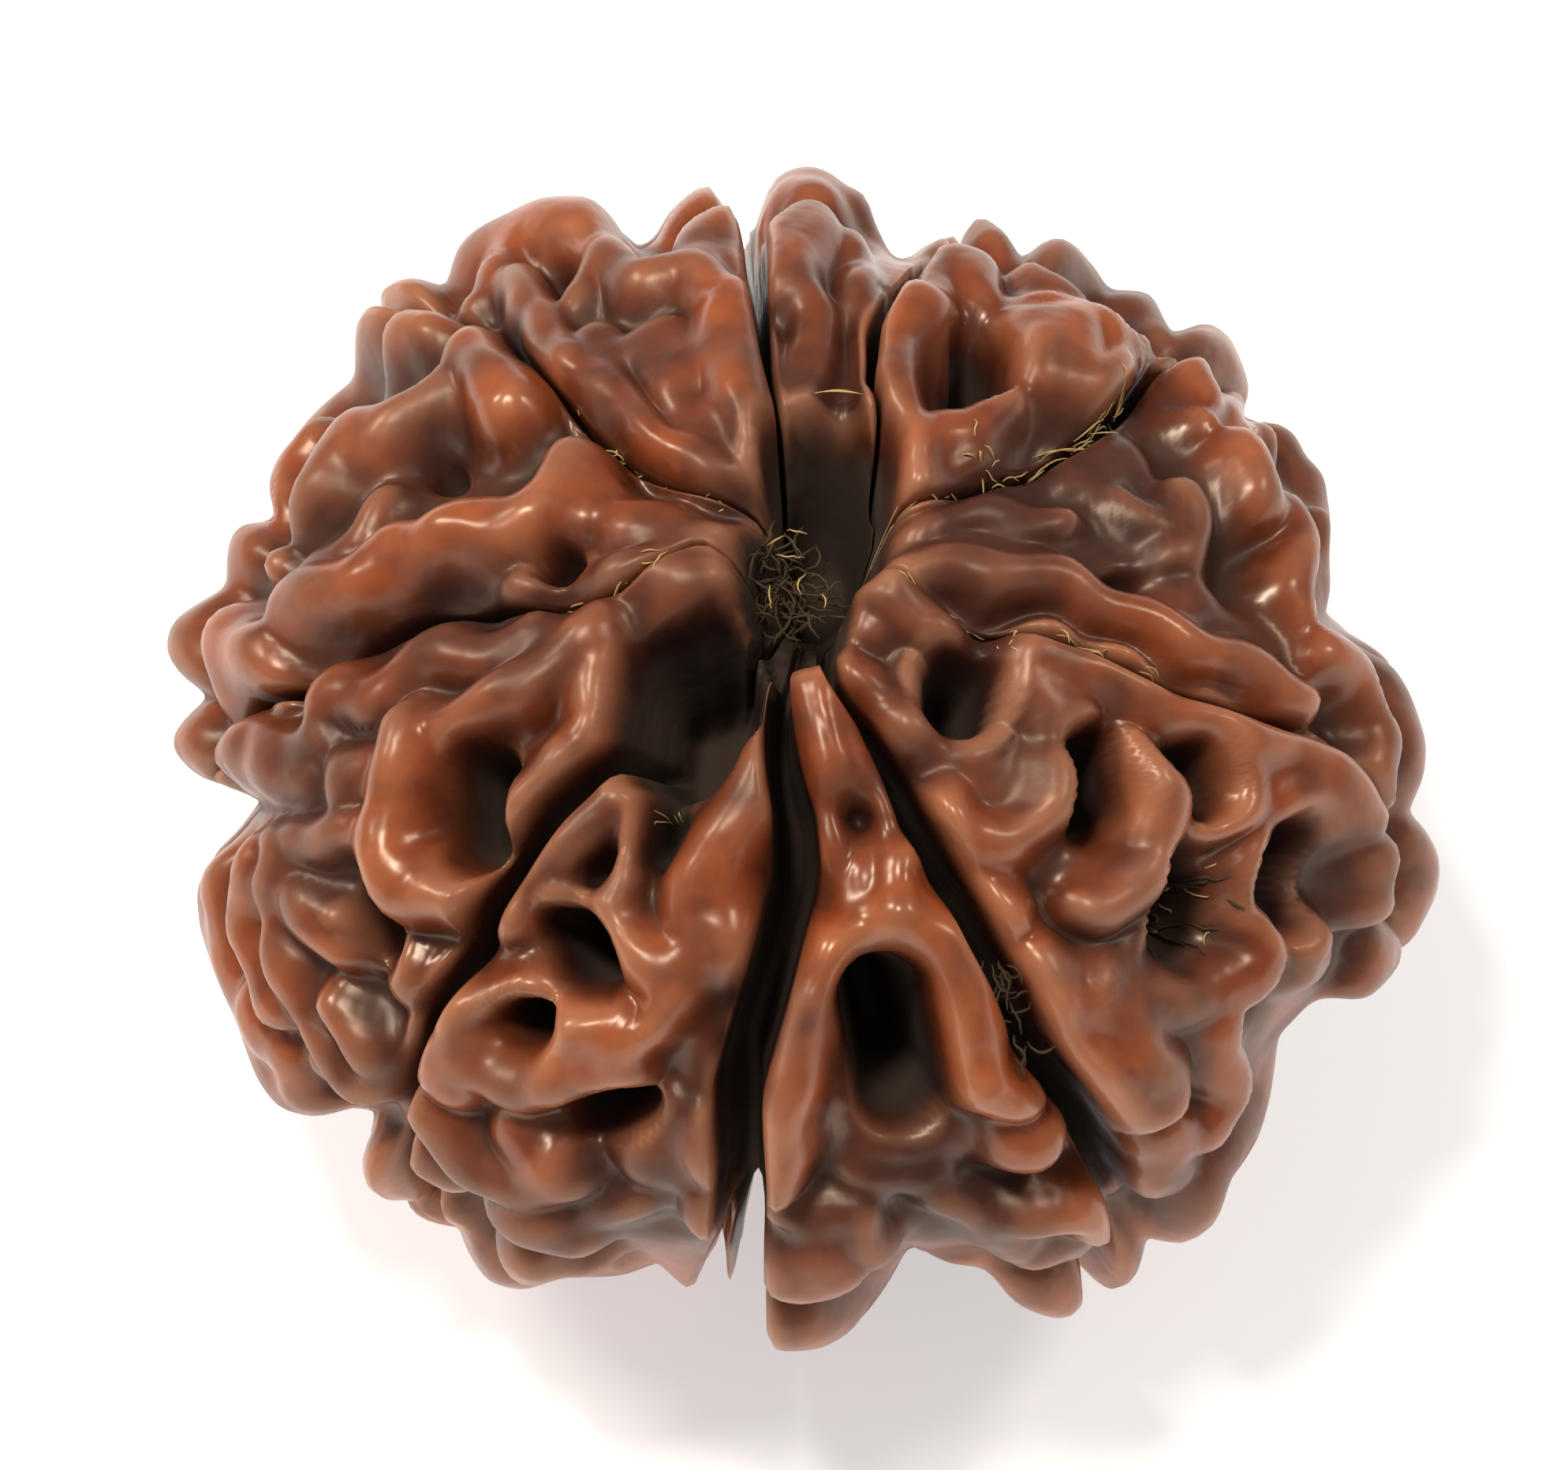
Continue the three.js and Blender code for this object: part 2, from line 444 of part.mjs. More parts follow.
// The point of the skin whose outward direction is at an angle in the picture and leans to the eye.
function pointLeaning(angle, lean) {
  const outwards = new THREE.Vector3(Math.cos(lean) * Math.cos(angle), 0, 0)
    .addScaledVector(pictureUp, Math.cos(lean) * Math.sin(angle))
    .addScaledVector(towardsEye, Math.sin(lean));
  const scaled = outwards.multiply(skinScale);
  return scaled.clone().multiply(skinScale).divideScalar(scaled.length());
}

// Short wandering ridges at random over the belt, from a fixed seed.
function makeBelt() {
  let state = BELT_SEED;
  const random = (from, to) => {
    state = (state * RANDOM_FACTOR) % RANDOM_RANGE;
    return lerp(from, to, state / RANDOM_RANGE);
  };
  return Array.from({ length: BELT_RIDGES }, (_, place) => {
    let angle = ((place + random(0, 1)) * 2 * Math.PI) / BELT_RIDGES;
    let lean = radians(random(...BELT_LEAN_DEG));
    let heading = random(0, 2 * Math.PI);
    const points = [];
    for (let steps = random(1, BELT_STEPS); steps > 0; steps--) {
      points.push(pointLeaning(angle, lean));
      heading += random(-BELT_BEND, BELT_BEND);
      angle += BELT_STEP * Math.cos(heading);
      lean += BELT_STEP * Math.sin(heading);
    }
    return makeStroke(random(...BELT_HALF), random(...BELT_CREST), points);
  });
}

const beltStrokes = makeBelt();

// A level sunk where pits are.
function sunk(level, skin, pits) {
  let left = level;
  for (const pit of pits) {
    const distance = distanceToStroke(pit, skin, pit.half + PIT_REACH);
    if (distance === Infinity) continue;
    const wall = pit.level + Math.max(0, distance - PIT_FLOOR_SHARE * pit.half) * PIT_WALL_SLOPE;
    left = blendedMin(left, wall, BLEND);
  }
  return left;
}

const waveAt = (point, [x, y, z]) => Math.sin(x * point.x + y * point.y + z * point.z);

// A point of the skin moved a little, so that what is drawn there gets uneven sides.
function wandered(skin) {
  const [x, y, z] = WANDER_WAVES.map(([one, other]) => waveAt(skin, one) + waveAt(skin, other));
  return skin.clone().addScaledVector(new THREE.Vector3(x, y, z), WANDER);
}

// Height of the lobes' surface above the skin at a point of the skin.
function relief(skin) {
  const drawn = wandered(skin);
  const [across, along, between] = GRAIN_WAVES.map((wave) => waveAt(skin, wave));
  const seen = seenFromEye(skin);
  let level = sunk(LOBE_FLOOR + GRAIN_HEIGHT * (across * along + between), drawn, pitStrokes);
  level = blendedMax(level, rimLevel(seen), BLEND);
  for (const ridge of [...ridgeStrokes, ...beltStrokes]) {
    const distance = distanceToStroke(ridge, drawn, ridge.half + RIDGE_REACH);
    if (distance === Infinity) continue;
    level = blendedMax(level, ridge.level - dropFromCrest(distance, ridge.half), RIDGE_BLEND);
  }
  level = sunk(sunk(level, drawn, narrowPitStrokes), skin, hollowStrokes);
  return blendedMin(level, seen.room, BLEND);
}

// The surface is a closed sheet of columns and rows. Columns go round the thread hole and follow the
// clefts, and rows go from the upper mouth over the outside to the lower mouth, and back up the hole.
const LOBE_COLUMNS = 360; // shared out to the lobes by their width
const CLEFT_COLUMNS = [-0.8, -0.5, 0, 0.5, 0.8]; // across a cleft, as shares of its half width
const OUTSIDE_ROWS = 150;
const HOLE_ROWS = 8;
const SMOOTHING_ROUNDS = 2; // of wear
const FACES_KEPT = 11700;
const MOUTH_ANGLE = Math.asin(HOLE_RADIUS / WAIST_RADIUS);

const polarOf = (skin) => Math.acos(THREE.MathUtils.clamp(skin.z / POLE_HEIGHT, -1, 1));
const rowPolar = (row) => lerp(MOUTH_ANGLE, Math.PI - MOUTH_ANGLE, row / OUTSIDE_ROWS);

function mouthOffset(polar) {
  const share = Math.max(0, 1 - (WAIST_RADIUS * Math.sin(polar)) / HOLE_OFFSET_REACH) ** 2;
  return [share * HOLE_OFFSET[0], share * HOLE_OFFSET[1] * Math.sign(Math.cos(polar))];
}

function skinPoint(azimuth, polar) {
  const across = WAIST_RADIUS * Math.sin(polar);
  const [offsetX, offsetY] = mouthOffset(polar);
  return new THREE.Vector3(across * Math.cos(azimuth) + offsetX, across * Math.sin(azimuth) + offsetY,
    POLE_HEIGHT * Math.cos(polar));
}

// A cleft's course: its azimuth at each angle from the upper pole.
function cleftCourse(name) {
  const [half, depth, ...pixels] = CLEFTS[name];
  const seen = pixels.map(pixelToSkin);
  const hidden = CLEFTS[TURNED_PARTNER[name]].slice(2).map(pixelToSkin).map(carriedPoint);
  const steps = [...seen, ...hidden].map((point) => {
    const polar = polarOf(point);
    const [offsetX, offsetY] = mouthOffset(polar);
    return { polar, azimuth: Math.atan2(point.y - offsetY, point.x - offsetX) };
  }).sort((a, b) => a.polar - b.polar);
  const start = azimuthOf(seen.at(-1));
  for (const step of steps) step.azimuth = start + shortWay(step.azimuth - start);
  return { name, half, depth, steps, start };
}

function courseAzimuth({ steps }, polar) {
  const next = steps.findIndex((step) => step.polar > polar);
  if (next === 0) return steps[0].azimuth;
  if (next < 0) return steps.at(-1).azimuth;
  const before = steps[next - 1];
  const share = (polar - before.polar) / (steps[next].polar - before.polar);
  return lerp(before.azimuth, steps[next].azimuth, share);
}

const courses = CLEFT_NAMES.map(cleftCourse).sort((a, b) => a.start - b.start);

// Share of their full width to which the clefts have opened, at an angle from the upper pole.
function cleftOpening(polar) {
  const [from, to] = CLEFT_OPENS_DEG.map(radians);
  const share = (Math.min(polar, Math.PI - polar) - from) / (to - from);
  return lerp(CLEFT_START, 1, THREE.MathUtils.clamp(share, 0, 1));
}

// A lobe's two rims at a row, as azimuths.
function lobeRims(lobe, row) {
  const polar = rowPolar(row);
  const across = WAIST_RADIUS * Math.sin(polar);
  const left = courses[lobe];
  const right = courses[(lobe + 1) % courses.length];
  const turn = lobe + 1 === courses.length ? 2 * Math.PI : 0;
  const leftHalf = Math.min((left.half * cleftOpening(polar)) / across, RIM_HALF_LIMIT);
  const rightHalf = Math.min((right.half * cleftOpening(polar)) / across, RIM_HALF_LIMIT);
  return [courseAzimuth(left, polar) + leftHalf, courseAzimuth(right, polar) + turn - rightHalf];
}

function raised(skin, level) {
  const point = skin.clone().addScaledVector(outwardsAt(skin), level);
  point.z = Math.max(point.z, REST_HEIGHT);
  return point;
}

function lobePoints(lobe, row, count) {
  const [from, to] = lobeRims(lobe, row);
  return Array.from({ length: count }, (_, i) => {
    const skin = skinPoint(lerp(from, to, i / (count - 1)), rowPolar(row));
    return raised(skin, relief(skin));
  });
}

// A cleft's section is a round-bottomed slot. The false cleft closes below the waist.
function cleftPoints(lobe, row) {
  const course = courses[lobe];
  const polar = rowPolar(row);
  const middle = courseAzimuth(course, polar);
  const half = lobeRims(lobe, row)[0] - middle;
  const closed = course.name === FALSE_CLEFT && polar > radians(FALSE_CLEFT_END_DEG);
  return CLEFT_COLUMNS.map((share) => {
    const skin = skinPoint(middle + share * half, polar);
    const floor = closed ? 0 : -course.depth * Math.sqrt(1 - share * share);
    return raised(skin, Math.min(relief(skin), floor));
  });
}

// All points, row by row: for each lobe its cleft and then its own columns.
function sheetRows() {
  const widths = courses.map((course, i) => {
    const next = courses[(i + 1) % courses.length].start;
    return (next - course.start + 2 * Math.PI) % (2 * Math.PI);
  });
  const counts = widths.map((width) => Math.round((LOBE_COLUMNS * width) / (2 * Math.PI)));
  const rows = Array.from({ length: OUTSIDE_ROWS + 1 }, (_, row) =>
    counts.flatMap((count, lobe) => [...cleftPoints(lobe, row), ...lobePoints(lobe, row, count)]));
  const [top, bottom] = [rows[0], rows[OUTSIDE_ROWS]];
  for (let step = 1; step < HOLE_ROWS; step++)
    rows.push(bottom.map((point, i) => point.clone().lerp(top[i], step / HOLE_ROWS)));
  return rows;
}

// Edges are worn: each point goes halfway to the middle of its four neighbours on the sheet.
function worn(rows) {
  const columns = rows[0].length;
  return rows.map((row, r) => row.map((point, c) => {
    const middle = new THREE.Vector3();
    middle.add(rows[(r + 1) % rows.length][c]).add(rows.at(r - 1)[c]);
    middle.add(row[(c + 1) % columns]).add(row.at(c - 1));
    return middle.divideScalar(4).lerp(point, 0.5);
  }));
}

function sheetFaces(rows) {
  const columns = rows[0].length;
  const faces = [];
  for (let row = 0; row < rows.length; row++)
    for (let column = 0; column < columns; column++) {
      const here = row * columns + column;
      const beside = row * columns + ((column + 1) % columns);
      const below = (here + columns) % (rows.length * columns);
      const across = (beside + columns) % (rows.length * columns);
      faces.push([here, below, across], [here, across, beside]);
    }
  return faces;
}

const FLAT_LIMIT = 1e-9; // a flatter quadric has no best point
const LENGTH_COST = 1e-5; // closes the shorter of two equal edges first
const UNTANGLE_ROUNDS = 40;
const LEAST_AGREEMENT = 0.3; // cosine between a face's old and new direction

// Closes up edges, the one that moves the surface least first, until few enough faces are left.
// Each point carries the planes of the faces that met there, as the ten sums of a quadric.
class FaceSaver {
  constructor(points, faces) {
    this.points = points;
    this.faces = faces;
    this.left = faces.length;
    this.quadrics = points.map(() => new Float64Array(10));
    this.facesOf = points.map(() => new Set());
    this.stamps = new Int32Array(points.length);
    this.queue = [];
    faces.forEach((face, i) => {
      face.forEach((corner) => this.facesOf[corner].add(i));
      this.addPlane(face);
    });
    for (const [a, b, c] of faces) {
      if (a < b) this.offer(a, b);
      if (b < c) this.offer(b, c);
      if (c < a) this.offer(c, a);
    }
  }

  addPlane(face) {
    const [a, b, c] = face.map((corner) => this.points[corner]);
    const normal = b.clone().sub(a).cross(c.clone().sub(a));
    const area = normal.length() / 2;
    normal.normalize();
    const plane = [normal.x, normal.y, normal.z, -normal.dot(a)];
    for (const corner of face) {
      let place = 0;
      for (let i = 0; i < 4; i++)
        for (let j = i; j < 4; j++) this.quadrics[corner][place++] += area * plane[i] * plane[j];
    }
  }

  // The best place for the point that an edge closes to, and what it costs.
  closing(a, b) {
    const q = this.quadrics[a].map((value, i) => value + this.quadrics[b][i]);
    const matrix = new THREE.Matrix3().set(q[0], q[1], q[2], q[1], q[4], q[5], q[2], q[5], q[7]);
    const middle = this.points[a].clone().add(this.points[b]).multiplyScalar(0.5);
    const length = this.points[a].distanceTo(this.points[b]);
    let point = middle;
    if (Math.abs(matrix.determinant()) > FLAT_LIMIT) {
      const best = new THREE.Vector3(-q[3], -q[6], -q[8]).applyMatrix3(matrix.invert());
      if (best.distanceTo(middle) < length) point = best;
    }
    const { x, y, z } = point;
    const cost = q[0] * x * x + q[4] * y * y + q[7] * z * z + q[9]
      + 2 * (q[1] * x * y + q[2] * x * z + q[5] * y * z + q[3] * x + q[6] * y + q[8] * z);
    return { point, cost: Math.max(cost, 0) + LENGTH_COST * length * length };
  }

  offer(a, b) {
    const entry = { a, b, stamp: this.stamps[a] + this.stamps[b], ...this.closing(a, b) };
    const { queue } = this;
    let place = queue.push(entry) - 1;
    while (place > 0) {
      const parent = (place - 1) >> 1;
      if (queue[parent].cost <= entry.cost) break;
      queue[place] = queue[parent];
      place = parent;
    }
    queue[place] = entry;
  }

  take() {
    const { queue } = this;
    const first = queue[0];
    const last = queue.pop();
    if (!queue.length) return first;
    let place = 0;
    for (let child = 1; child < queue.length; child = 2 * place + 1) {
      if (child + 1 < queue.length && queue[child + 1].cost < queue[child].cost) child++;
      if (queue[child].cost >= last.cost) break;
      queue[place] = queue[child];
      place = child;
    }
    queue[place] = last;
    return first;
  }

  neighbours(a) {
    return new Set([...this.facesOf[a]].flatMap((i) => this.faces[i]).filter((corner) => corner !== a));
  }

  turnsOver(a, b, point) {
    for (const i of this.facesOf[a]) {
      if (this.faces[i].includes(b)) continue;
      const before = this.faces[i].map((corner) => this.points[corner]);
      const after = this.faces[i].map((corner) => (corner === a ? point : this.points[corner]));
      const old = new THREE.Triangle(...before).getNormal(new THREE.Vector3());
      if (new THREE.Triangle(...after).getNormal(new THREE.Vector3()).dot(old) < LEAST_AGREEMENT) return true;
    }
    return false;
  }

  close({ a, b, point }) {
    const around = this.neighbours(a);
    const shared = [...this.neighbours(b)].filter((corner) => around.has(corner));
    if (shared.length !== 2 || this.turnsOver(a, b, point) || this.turnsOver(b, a, point)) return;
    this.points[a] = point;
    this.quadrics[b].forEach((value, i) => (this.quadrics[a][i] += value));
    for (const i of this.facesOf[b]) {
      const face = this.faces[i];
      if (face.includes(a)) {
        face.forEach((corner) => corner !== b && this.facesOf[corner].delete(i));
        this.faces[i] = null;
        this.left--;
      } else {
        face[face.indexOf(b)] = a;
        this.facesOf[a].add(i);
      }
    }
    this.facesOf[b].clear();
    this.stamps[a]++;
    for (const corner of this.neighbours(a)) this.offer(a, corner);
  }

  run(most) {
    while (this.left > most) {
      const entry = this.take();
      if (this.facesOf[entry.a].size && this.facesOf[entry.b].size
        && this.stamps[entry.a] + this.stamps[entry.b] === entry.stamp) this.close(entry);
    }
    return this.faces.filter(Boolean);
  }
}

const ray = new THREE.Ray();
const hit = new THREE.Vector3();

// Whether an edge of one triangle passes through the other.
function pierces(from, to, [a, b, c]) {
  ray.set(from, to.clone().sub(from).normalize());
  return ray.intersectTriangle(a, b, c, false, hit) !== null && hit.distanceTo(from) < from.distanceTo(to);
}

const edgesPierce = (one, other) => one.some((from, i) => pierces(from, one[(i + 1) % 3], other));

// The faces that cross another face that they share no corner with.
function crossingFaces(points, faces) {
  const items = faces.map((face) => {
    const corners = face.map((corner) => points[corner]);
    return { face, corners, box: new THREE.Box3().setFromPoints(corners) };
  }).sort((one, other) => one.box.min.x - other.box.min.x);
  const found = new Set();
  items.forEach((one, place) => {
    for (let next = place + 1; next < items.length; next++) {
      const other = items[next];
      if (other.box.min.x > one.box.max.x) break;
      if (!one.box.intersectsBox(other.box)) continue;
      if (one.face.some((corner) => other.face.includes(corner))) continue;
      if (edgesPierce(one.corners, other.corners) || edgesPierce(other.corners, one.corners))
        found.add(one.face).add(other.face);
    }
  });
  return [...found];
}

// Draws the corners of faces that cross towards their neighbours, until none cross.
function untangle(points, faces, saver) {
  for (let round = 0; round < UNTANGLE_ROUNDS; round++) {
    const corners = new Set(crossingFaces(points, faces).flat());
    if (!corners.size) return;
    for (const corner of corners) {
      const around = [...saver.neighbours(corner)];
      const middle = around.reduce((sum, next) => sum.add(points[next]), new THREE.Vector3());
      points[corner] = points[corner].clone().lerp(middle.divideScalar(around.length), 0.5);
    }
  }
}

function beadGeometry() {
  let rows = sheetRows();
  for (let round = 0; round < SMOOTHING_ROUNDS; round++) rows = worn(rows);
  const saver = new FaceSaver(rows.flat(), sheetFaces(rows));
  const faces = saver.run(FACES_KEPT);
  untangle(saver.points, faces, saver);
  for (const point of saver.points) if (point.z < REST_HEIGHT + REST_SNAP) point.z = REST_HEIGHT;
  const used = [...new Set(faces.flat())];
  const places = new Map(used.map((corner, place) => [corner, place]));
  const made = new THREE.BufferGeometry().setFromPoints(used.map((corner) => saver.points[corner]));
  made.setIndex(faces.flat().map((corner) => places.get(corner)));
  made.computeBoundingBox();
  const { min, max } = made.boundingBox;
  made.translate(-(min.x + max.x) / 2, -(min.y + max.y) / 2, -min.z);
  made.computeVertexNormals();
  return made;
}

const polishedNut = new THREE.MeshStandardMaterial({ color: 0x6e2f1c, roughness: 0.32, metalness: 0 });
const bead = new THREE.Mesh(beadGeometry(), polishedNut);
bead.name = "rudraksha_bead";

const group = new THREE.Group();
group.add(bead);
export default group;
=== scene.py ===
# %% [markdown]
# A rudraksha bead is the dried nut of a forest fruit. It is one piece: lobes side by side round a
# natural thread hole, each lobe covered in ridges, knobs and pits, and a deep cleft between each two.
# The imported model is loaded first. It gives the bead's true size and the place where it rests.

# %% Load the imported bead
import bpy
import numpy as np
from mathutils import Matrix, Vector


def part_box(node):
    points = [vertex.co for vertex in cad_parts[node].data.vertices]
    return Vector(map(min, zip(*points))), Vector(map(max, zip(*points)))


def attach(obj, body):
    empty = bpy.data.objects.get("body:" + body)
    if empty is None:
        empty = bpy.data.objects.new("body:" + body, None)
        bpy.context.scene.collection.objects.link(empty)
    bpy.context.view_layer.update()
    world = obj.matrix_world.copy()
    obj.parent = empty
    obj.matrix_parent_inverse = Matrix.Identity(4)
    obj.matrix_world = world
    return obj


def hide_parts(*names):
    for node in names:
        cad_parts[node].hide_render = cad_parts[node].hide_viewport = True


MILLIMETRE = 0.001  # in metres
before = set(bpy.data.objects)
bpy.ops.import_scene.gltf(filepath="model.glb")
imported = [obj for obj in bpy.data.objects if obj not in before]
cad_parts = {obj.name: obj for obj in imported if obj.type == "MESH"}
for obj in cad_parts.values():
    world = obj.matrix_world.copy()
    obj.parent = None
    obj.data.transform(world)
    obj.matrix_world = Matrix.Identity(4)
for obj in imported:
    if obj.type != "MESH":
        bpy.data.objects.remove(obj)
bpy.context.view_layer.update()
packed_low, packed_high = (np.array(corner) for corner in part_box("rudraksha_bead"))
print("packed nodes:", list(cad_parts))
print("packed bead, millimetres:", np.round((packed_high - packed_low) / MILLIMETRE, 2))

# %% [markdown]
# The bead is sculpted in millimetres on an oblate skin that touches the crests of its lobes.
# Working in the unit that a maker would measure with keeps every height and width easy to check.

# %% The bead's measures
WAIST_RADIUS = 12.5  # skin over the lobes' crests, at the waist
POLE_HEIGHT = 9.6  # skin above the middle, at a pole
HOLE_RADIUS = 0.65  # thread hole
HOLE_OFFSET = np.array([0.45, 0.15])  # the hole's mouth lies a little off the middle
HOLE_OFFSET_REACH = 5.0  # further out than this the skin isn't moved by that
LOBE_FLOOR = -1.4  # lobes' own surface between their ridges, from the skin
PIT_FLOOR_SHARE = 0.55  # share of a pit's half width that is its floor
PIT_WALL_SLOPE = 6.0  # rise of a pit's wall for each millimetre outwards
BLEND = 0.3  # width over which a pit or the rim runs into what is beside it
RIDGE_BLEND = 0.6  # ridges run into each other more softly
WANDER = 0.13  # how far the traced lines wander sideways
AFTER_RIDGES = 0.8  # a pit is cut again through the ridges, this much narrower
RIDGE_POWER = 2.6  # of a ridge's section: 2 is half round, more is flatter on top
SHOULDER = 0.88  # share of a ridge's half width that is curved; its flank is straight
RIDGE_UNEVENNESS = 0.08  # a crest's rise and fall along it
GRAIN_HEIGHT = 0.12  # slow unevenness of the lobes' surface
RIM_DEG = 10.0  # the rim that makes the outline has fallen by RIM_FALL this far to its side
RIM_FALL = 1.1
RIM_REACH = 2.5  # and ends at this many times as far
REST_HEIGHT = -9.05  # lowest knobs are worn flat here
SKIN = np.array([WAIST_RADIUS, WAIST_RADIUS, POLE_HEIGHT])
print("skin, millimetres:", 2 * SKIN)

# %% [markdown]
# The photograph looks down on the bead from 56 degrees above its waist. Every line on the bead was traced as
# pixels of the photograph, so the same camera is needed twice: to cast those pixels onto the skin, and later
# to take the picture.

# %% The photograph's eye
PHOTO_SIZE = (1988, 1864)
PIXELS_PER_MM = 64.8
MIDDLE_PIXEL = np.array([1018.0, 961.0])  # the skin's middle
VIEW_HEIGHT = np.radians(56)  # above the waist
VIEW_DISTANCE = 300.0
towards_eye = np.array([0, -np.cos(VIEW_HEIGHT), np.sin(VIEW_HEIGHT)])
picture_up = np.array([0, np.sin(VIEW_HEIGHT), np.cos(VIEW_HEIGHT)])


def picture_place(pixels):
    """Pixels as millimetres right of and above the bead's middle in the picture."""
    return (np.asarray(pixels, float) - MIDDLE_PIXEL) / PIXELS_PER_MM * np.array([1, -1])


def pixels_to_skin(pixels):
    """Where sight lines through pixels meet the skin, or its outline where they miss it."""
    place = picture_place(pixels)
    target = place[:, :1] * np.array([1, 0, 0]) + place[:, 1:] * picture_up
    eye = towards_eye * VIEW_DISTANCE
    start = eye / SKIN
    along = (target - eye) / SKIN
    along /= np.linalg.norm(along, axis=1, keepdims=True)
    halfway = -along @ start
    miss = start @ start - halfway ** 2
    reach = halfway - np.sqrt(np.maximum(0, 1 - miss))
    point = start + along * reach[:, None]
    return point / np.linalg.norm(point, axis=1, keepdims=True) * SKIN


print("stem pole's pixel:", MIDDLE_PIXEL - [0, POLE_HEIGHT * picture_up[2] * PIXELS_PER_MM])

# %% [markdown]
# Nine dark clefts run from the stem pole to the outline, one between each two lobes. Each is traced
# from the pole outwards as half its width, its depth and the pixels along it. Traced lines were chosen
# over a regular star, because on a real nut no two lobes are equally wide.
# On the hidden side each cleft runs on into the turned copy of a partner.

# %% Clefts
CLEFTS = {
  "top": [0.28, 4.6, [1000, 560], [990, 510], [975, 460], [965, 400], [960, 330], [956, 270]],
  "topRight": [0.24, 4.6, [1108, 600], [1110, 540], [1108, 450], [1112, 385], [1138, 335]],
  "right": [0.2, 3.4, [1112, 612], [1200, 595], [1290, 560], [1330, 545], [1400, 510], [1450, 470],
    [1488, 425]],
  "lowerRight": [0.19, 3.2, [1120, 700], [1180, 742], [1220, 770], [1300, 782], [1400, 812], [1460, 842],
    [1520, 865], [1600, 893], [1660, 912], [1720, 935], [1785, 1035]],
  "frontRight": [0.4, 4.8, [1055, 850], [1100, 905], [1140, 970], [1170, 1040], [1225, 1135],
    [1270, 1220], [1294, 1263], [1324, 1336], [1397, 1433], [1440, 1512], [1448, 1570]],
  "front": [0.56, 3.9, [985, 850], [990, 950], [1005, 1020], [1008, 1100], [985, 1200], [957, 1300],
    [930, 1400], [930, 1450], [934, 1510], [930, 1600]],
  "lowerLeft": [0.36, 4.5, [940, 770], [870, 850], [800, 910], [745, 965], [686, 1020], [620, 1110],
    [576, 1200], [540, 1260], [505, 1315], [485, 1395]],
  "left": [0.15, 3, [940, 690], [880, 676], [760, 738], [690, 745], [600, 742], [500, 750], [430, 780],
    [380, 820], [350, 855], [275, 877]],
  "upperLeft": [0.15, 2.8, [960, 605], [930, 600], [860, 585], [800, 556], [750, 515], [700, 465],
    [650, 413], [620, 375], [585, 370]],
}
TURNED_PARTNER = {
    "top": "front", "topRight": "frontRight", "right": "lowerRight", "lowerRight": "right",
    "frontRight": "topRight", "front": "top", "lowerLeft": "upperLeft", "left": "left",
    "upperLeft": "lowerLeft",
}
FALSE_CLEFT = "lowerLeft"  # ends on the underside, which leaves eight that reach the lower pole
FALSE_CLEFT_END = np.radians(115)  # from the upper pole
print(len(CLEFTS), "clefts")

# %% [markdown]
# The outline's knobs are traced round the bead, because they make its silhouette, which the eye
# reads first.

# %% Outline
OUTLINE = [
  [972, 250], [985, 220], [1025, 207], [1050, 215], [1070, 235], [1095, 240], [1105, 280], [1130, 330],
  [1160, 330], [1175, 305], [1205, 293], [1240, 268], [1265, 285], [1295, 335], [1325, 302],
  [1350, 298], [1375, 325], [1405, 365], [1460, 368], [1472, 400], [1485, 428], [1500, 420],
  [1530, 405], [1560, 425], [1572, 460], [1583, 495], [1565, 533], [1600, 528], [1640, 545],
  [1655, 580], [1675, 595], [1685, 640], [1683, 700], [1685, 740], [1675, 778], [1700, 800],
  [1740, 825], [1770, 845], [1790, 880], [1810, 940], [1808, 980], [1785, 1035], [1810, 1055],
  [1828, 1090], [1825, 1130], [1805, 1170], [1766, 1239], [1730, 1270], [1682, 1262], [1657, 1276],
  [1615, 1320], [1608, 1390], [1591, 1445], [1558, 1500], [1542, 1554], [1506, 1579], [1448, 1565],
  [1442, 1620], [1400, 1655], [1345, 1675], [1290, 1655], [1250, 1608], [1200, 1603], [1150, 1576],
  [1125, 1620], [1075, 1690], [1040, 1712], [960, 1715], [925, 1660], [938, 1590], [934, 1500],
  [922, 1590], [880, 1640], [835, 1598], [780, 1618], [707, 1618], [660, 1638], [618, 1627],
  [595, 1590], [585, 1557], [515, 1547], [465, 1510], [458, 1480], [488, 1408], [450, 1403],
  [400, 1418], [350, 1405], [325, 1370], [300, 1300], [275, 1240], [252, 1180], [248, 1130],
  [265, 1095], [300, 1065], [345, 1010], [260, 988], [212, 945], [225, 920], [275, 877], [235, 860],
  [207, 825], [215, 790], [290, 745], [290, 690], [300, 665], [355, 660], [342, 610], [355, 575],
  [400, 520], [455, 475], [450, 400], [475, 365], [520, 350], [568, 368], [580, 310], [600, 290],
  [640, 270], [680, 250], [745, 248], [770, 270], [805, 320], [838, 300], [850, 270], [880, 240],
  [915, 228], [940, 250], [956, 320],
]
print(len(OUTLINE), "points of the outline")

# %% [markdown]
# Each lobe carries ridges and knobs: the nut's bony wall, left when the fruit's flesh is cleaned off.
# A ridge is half its width, the height of its crest from the skin, and the pixels along it. One point
# alone is a knob. They could be sculpted with a brush, but a list of lines can be checked against the
# photograph one by one.

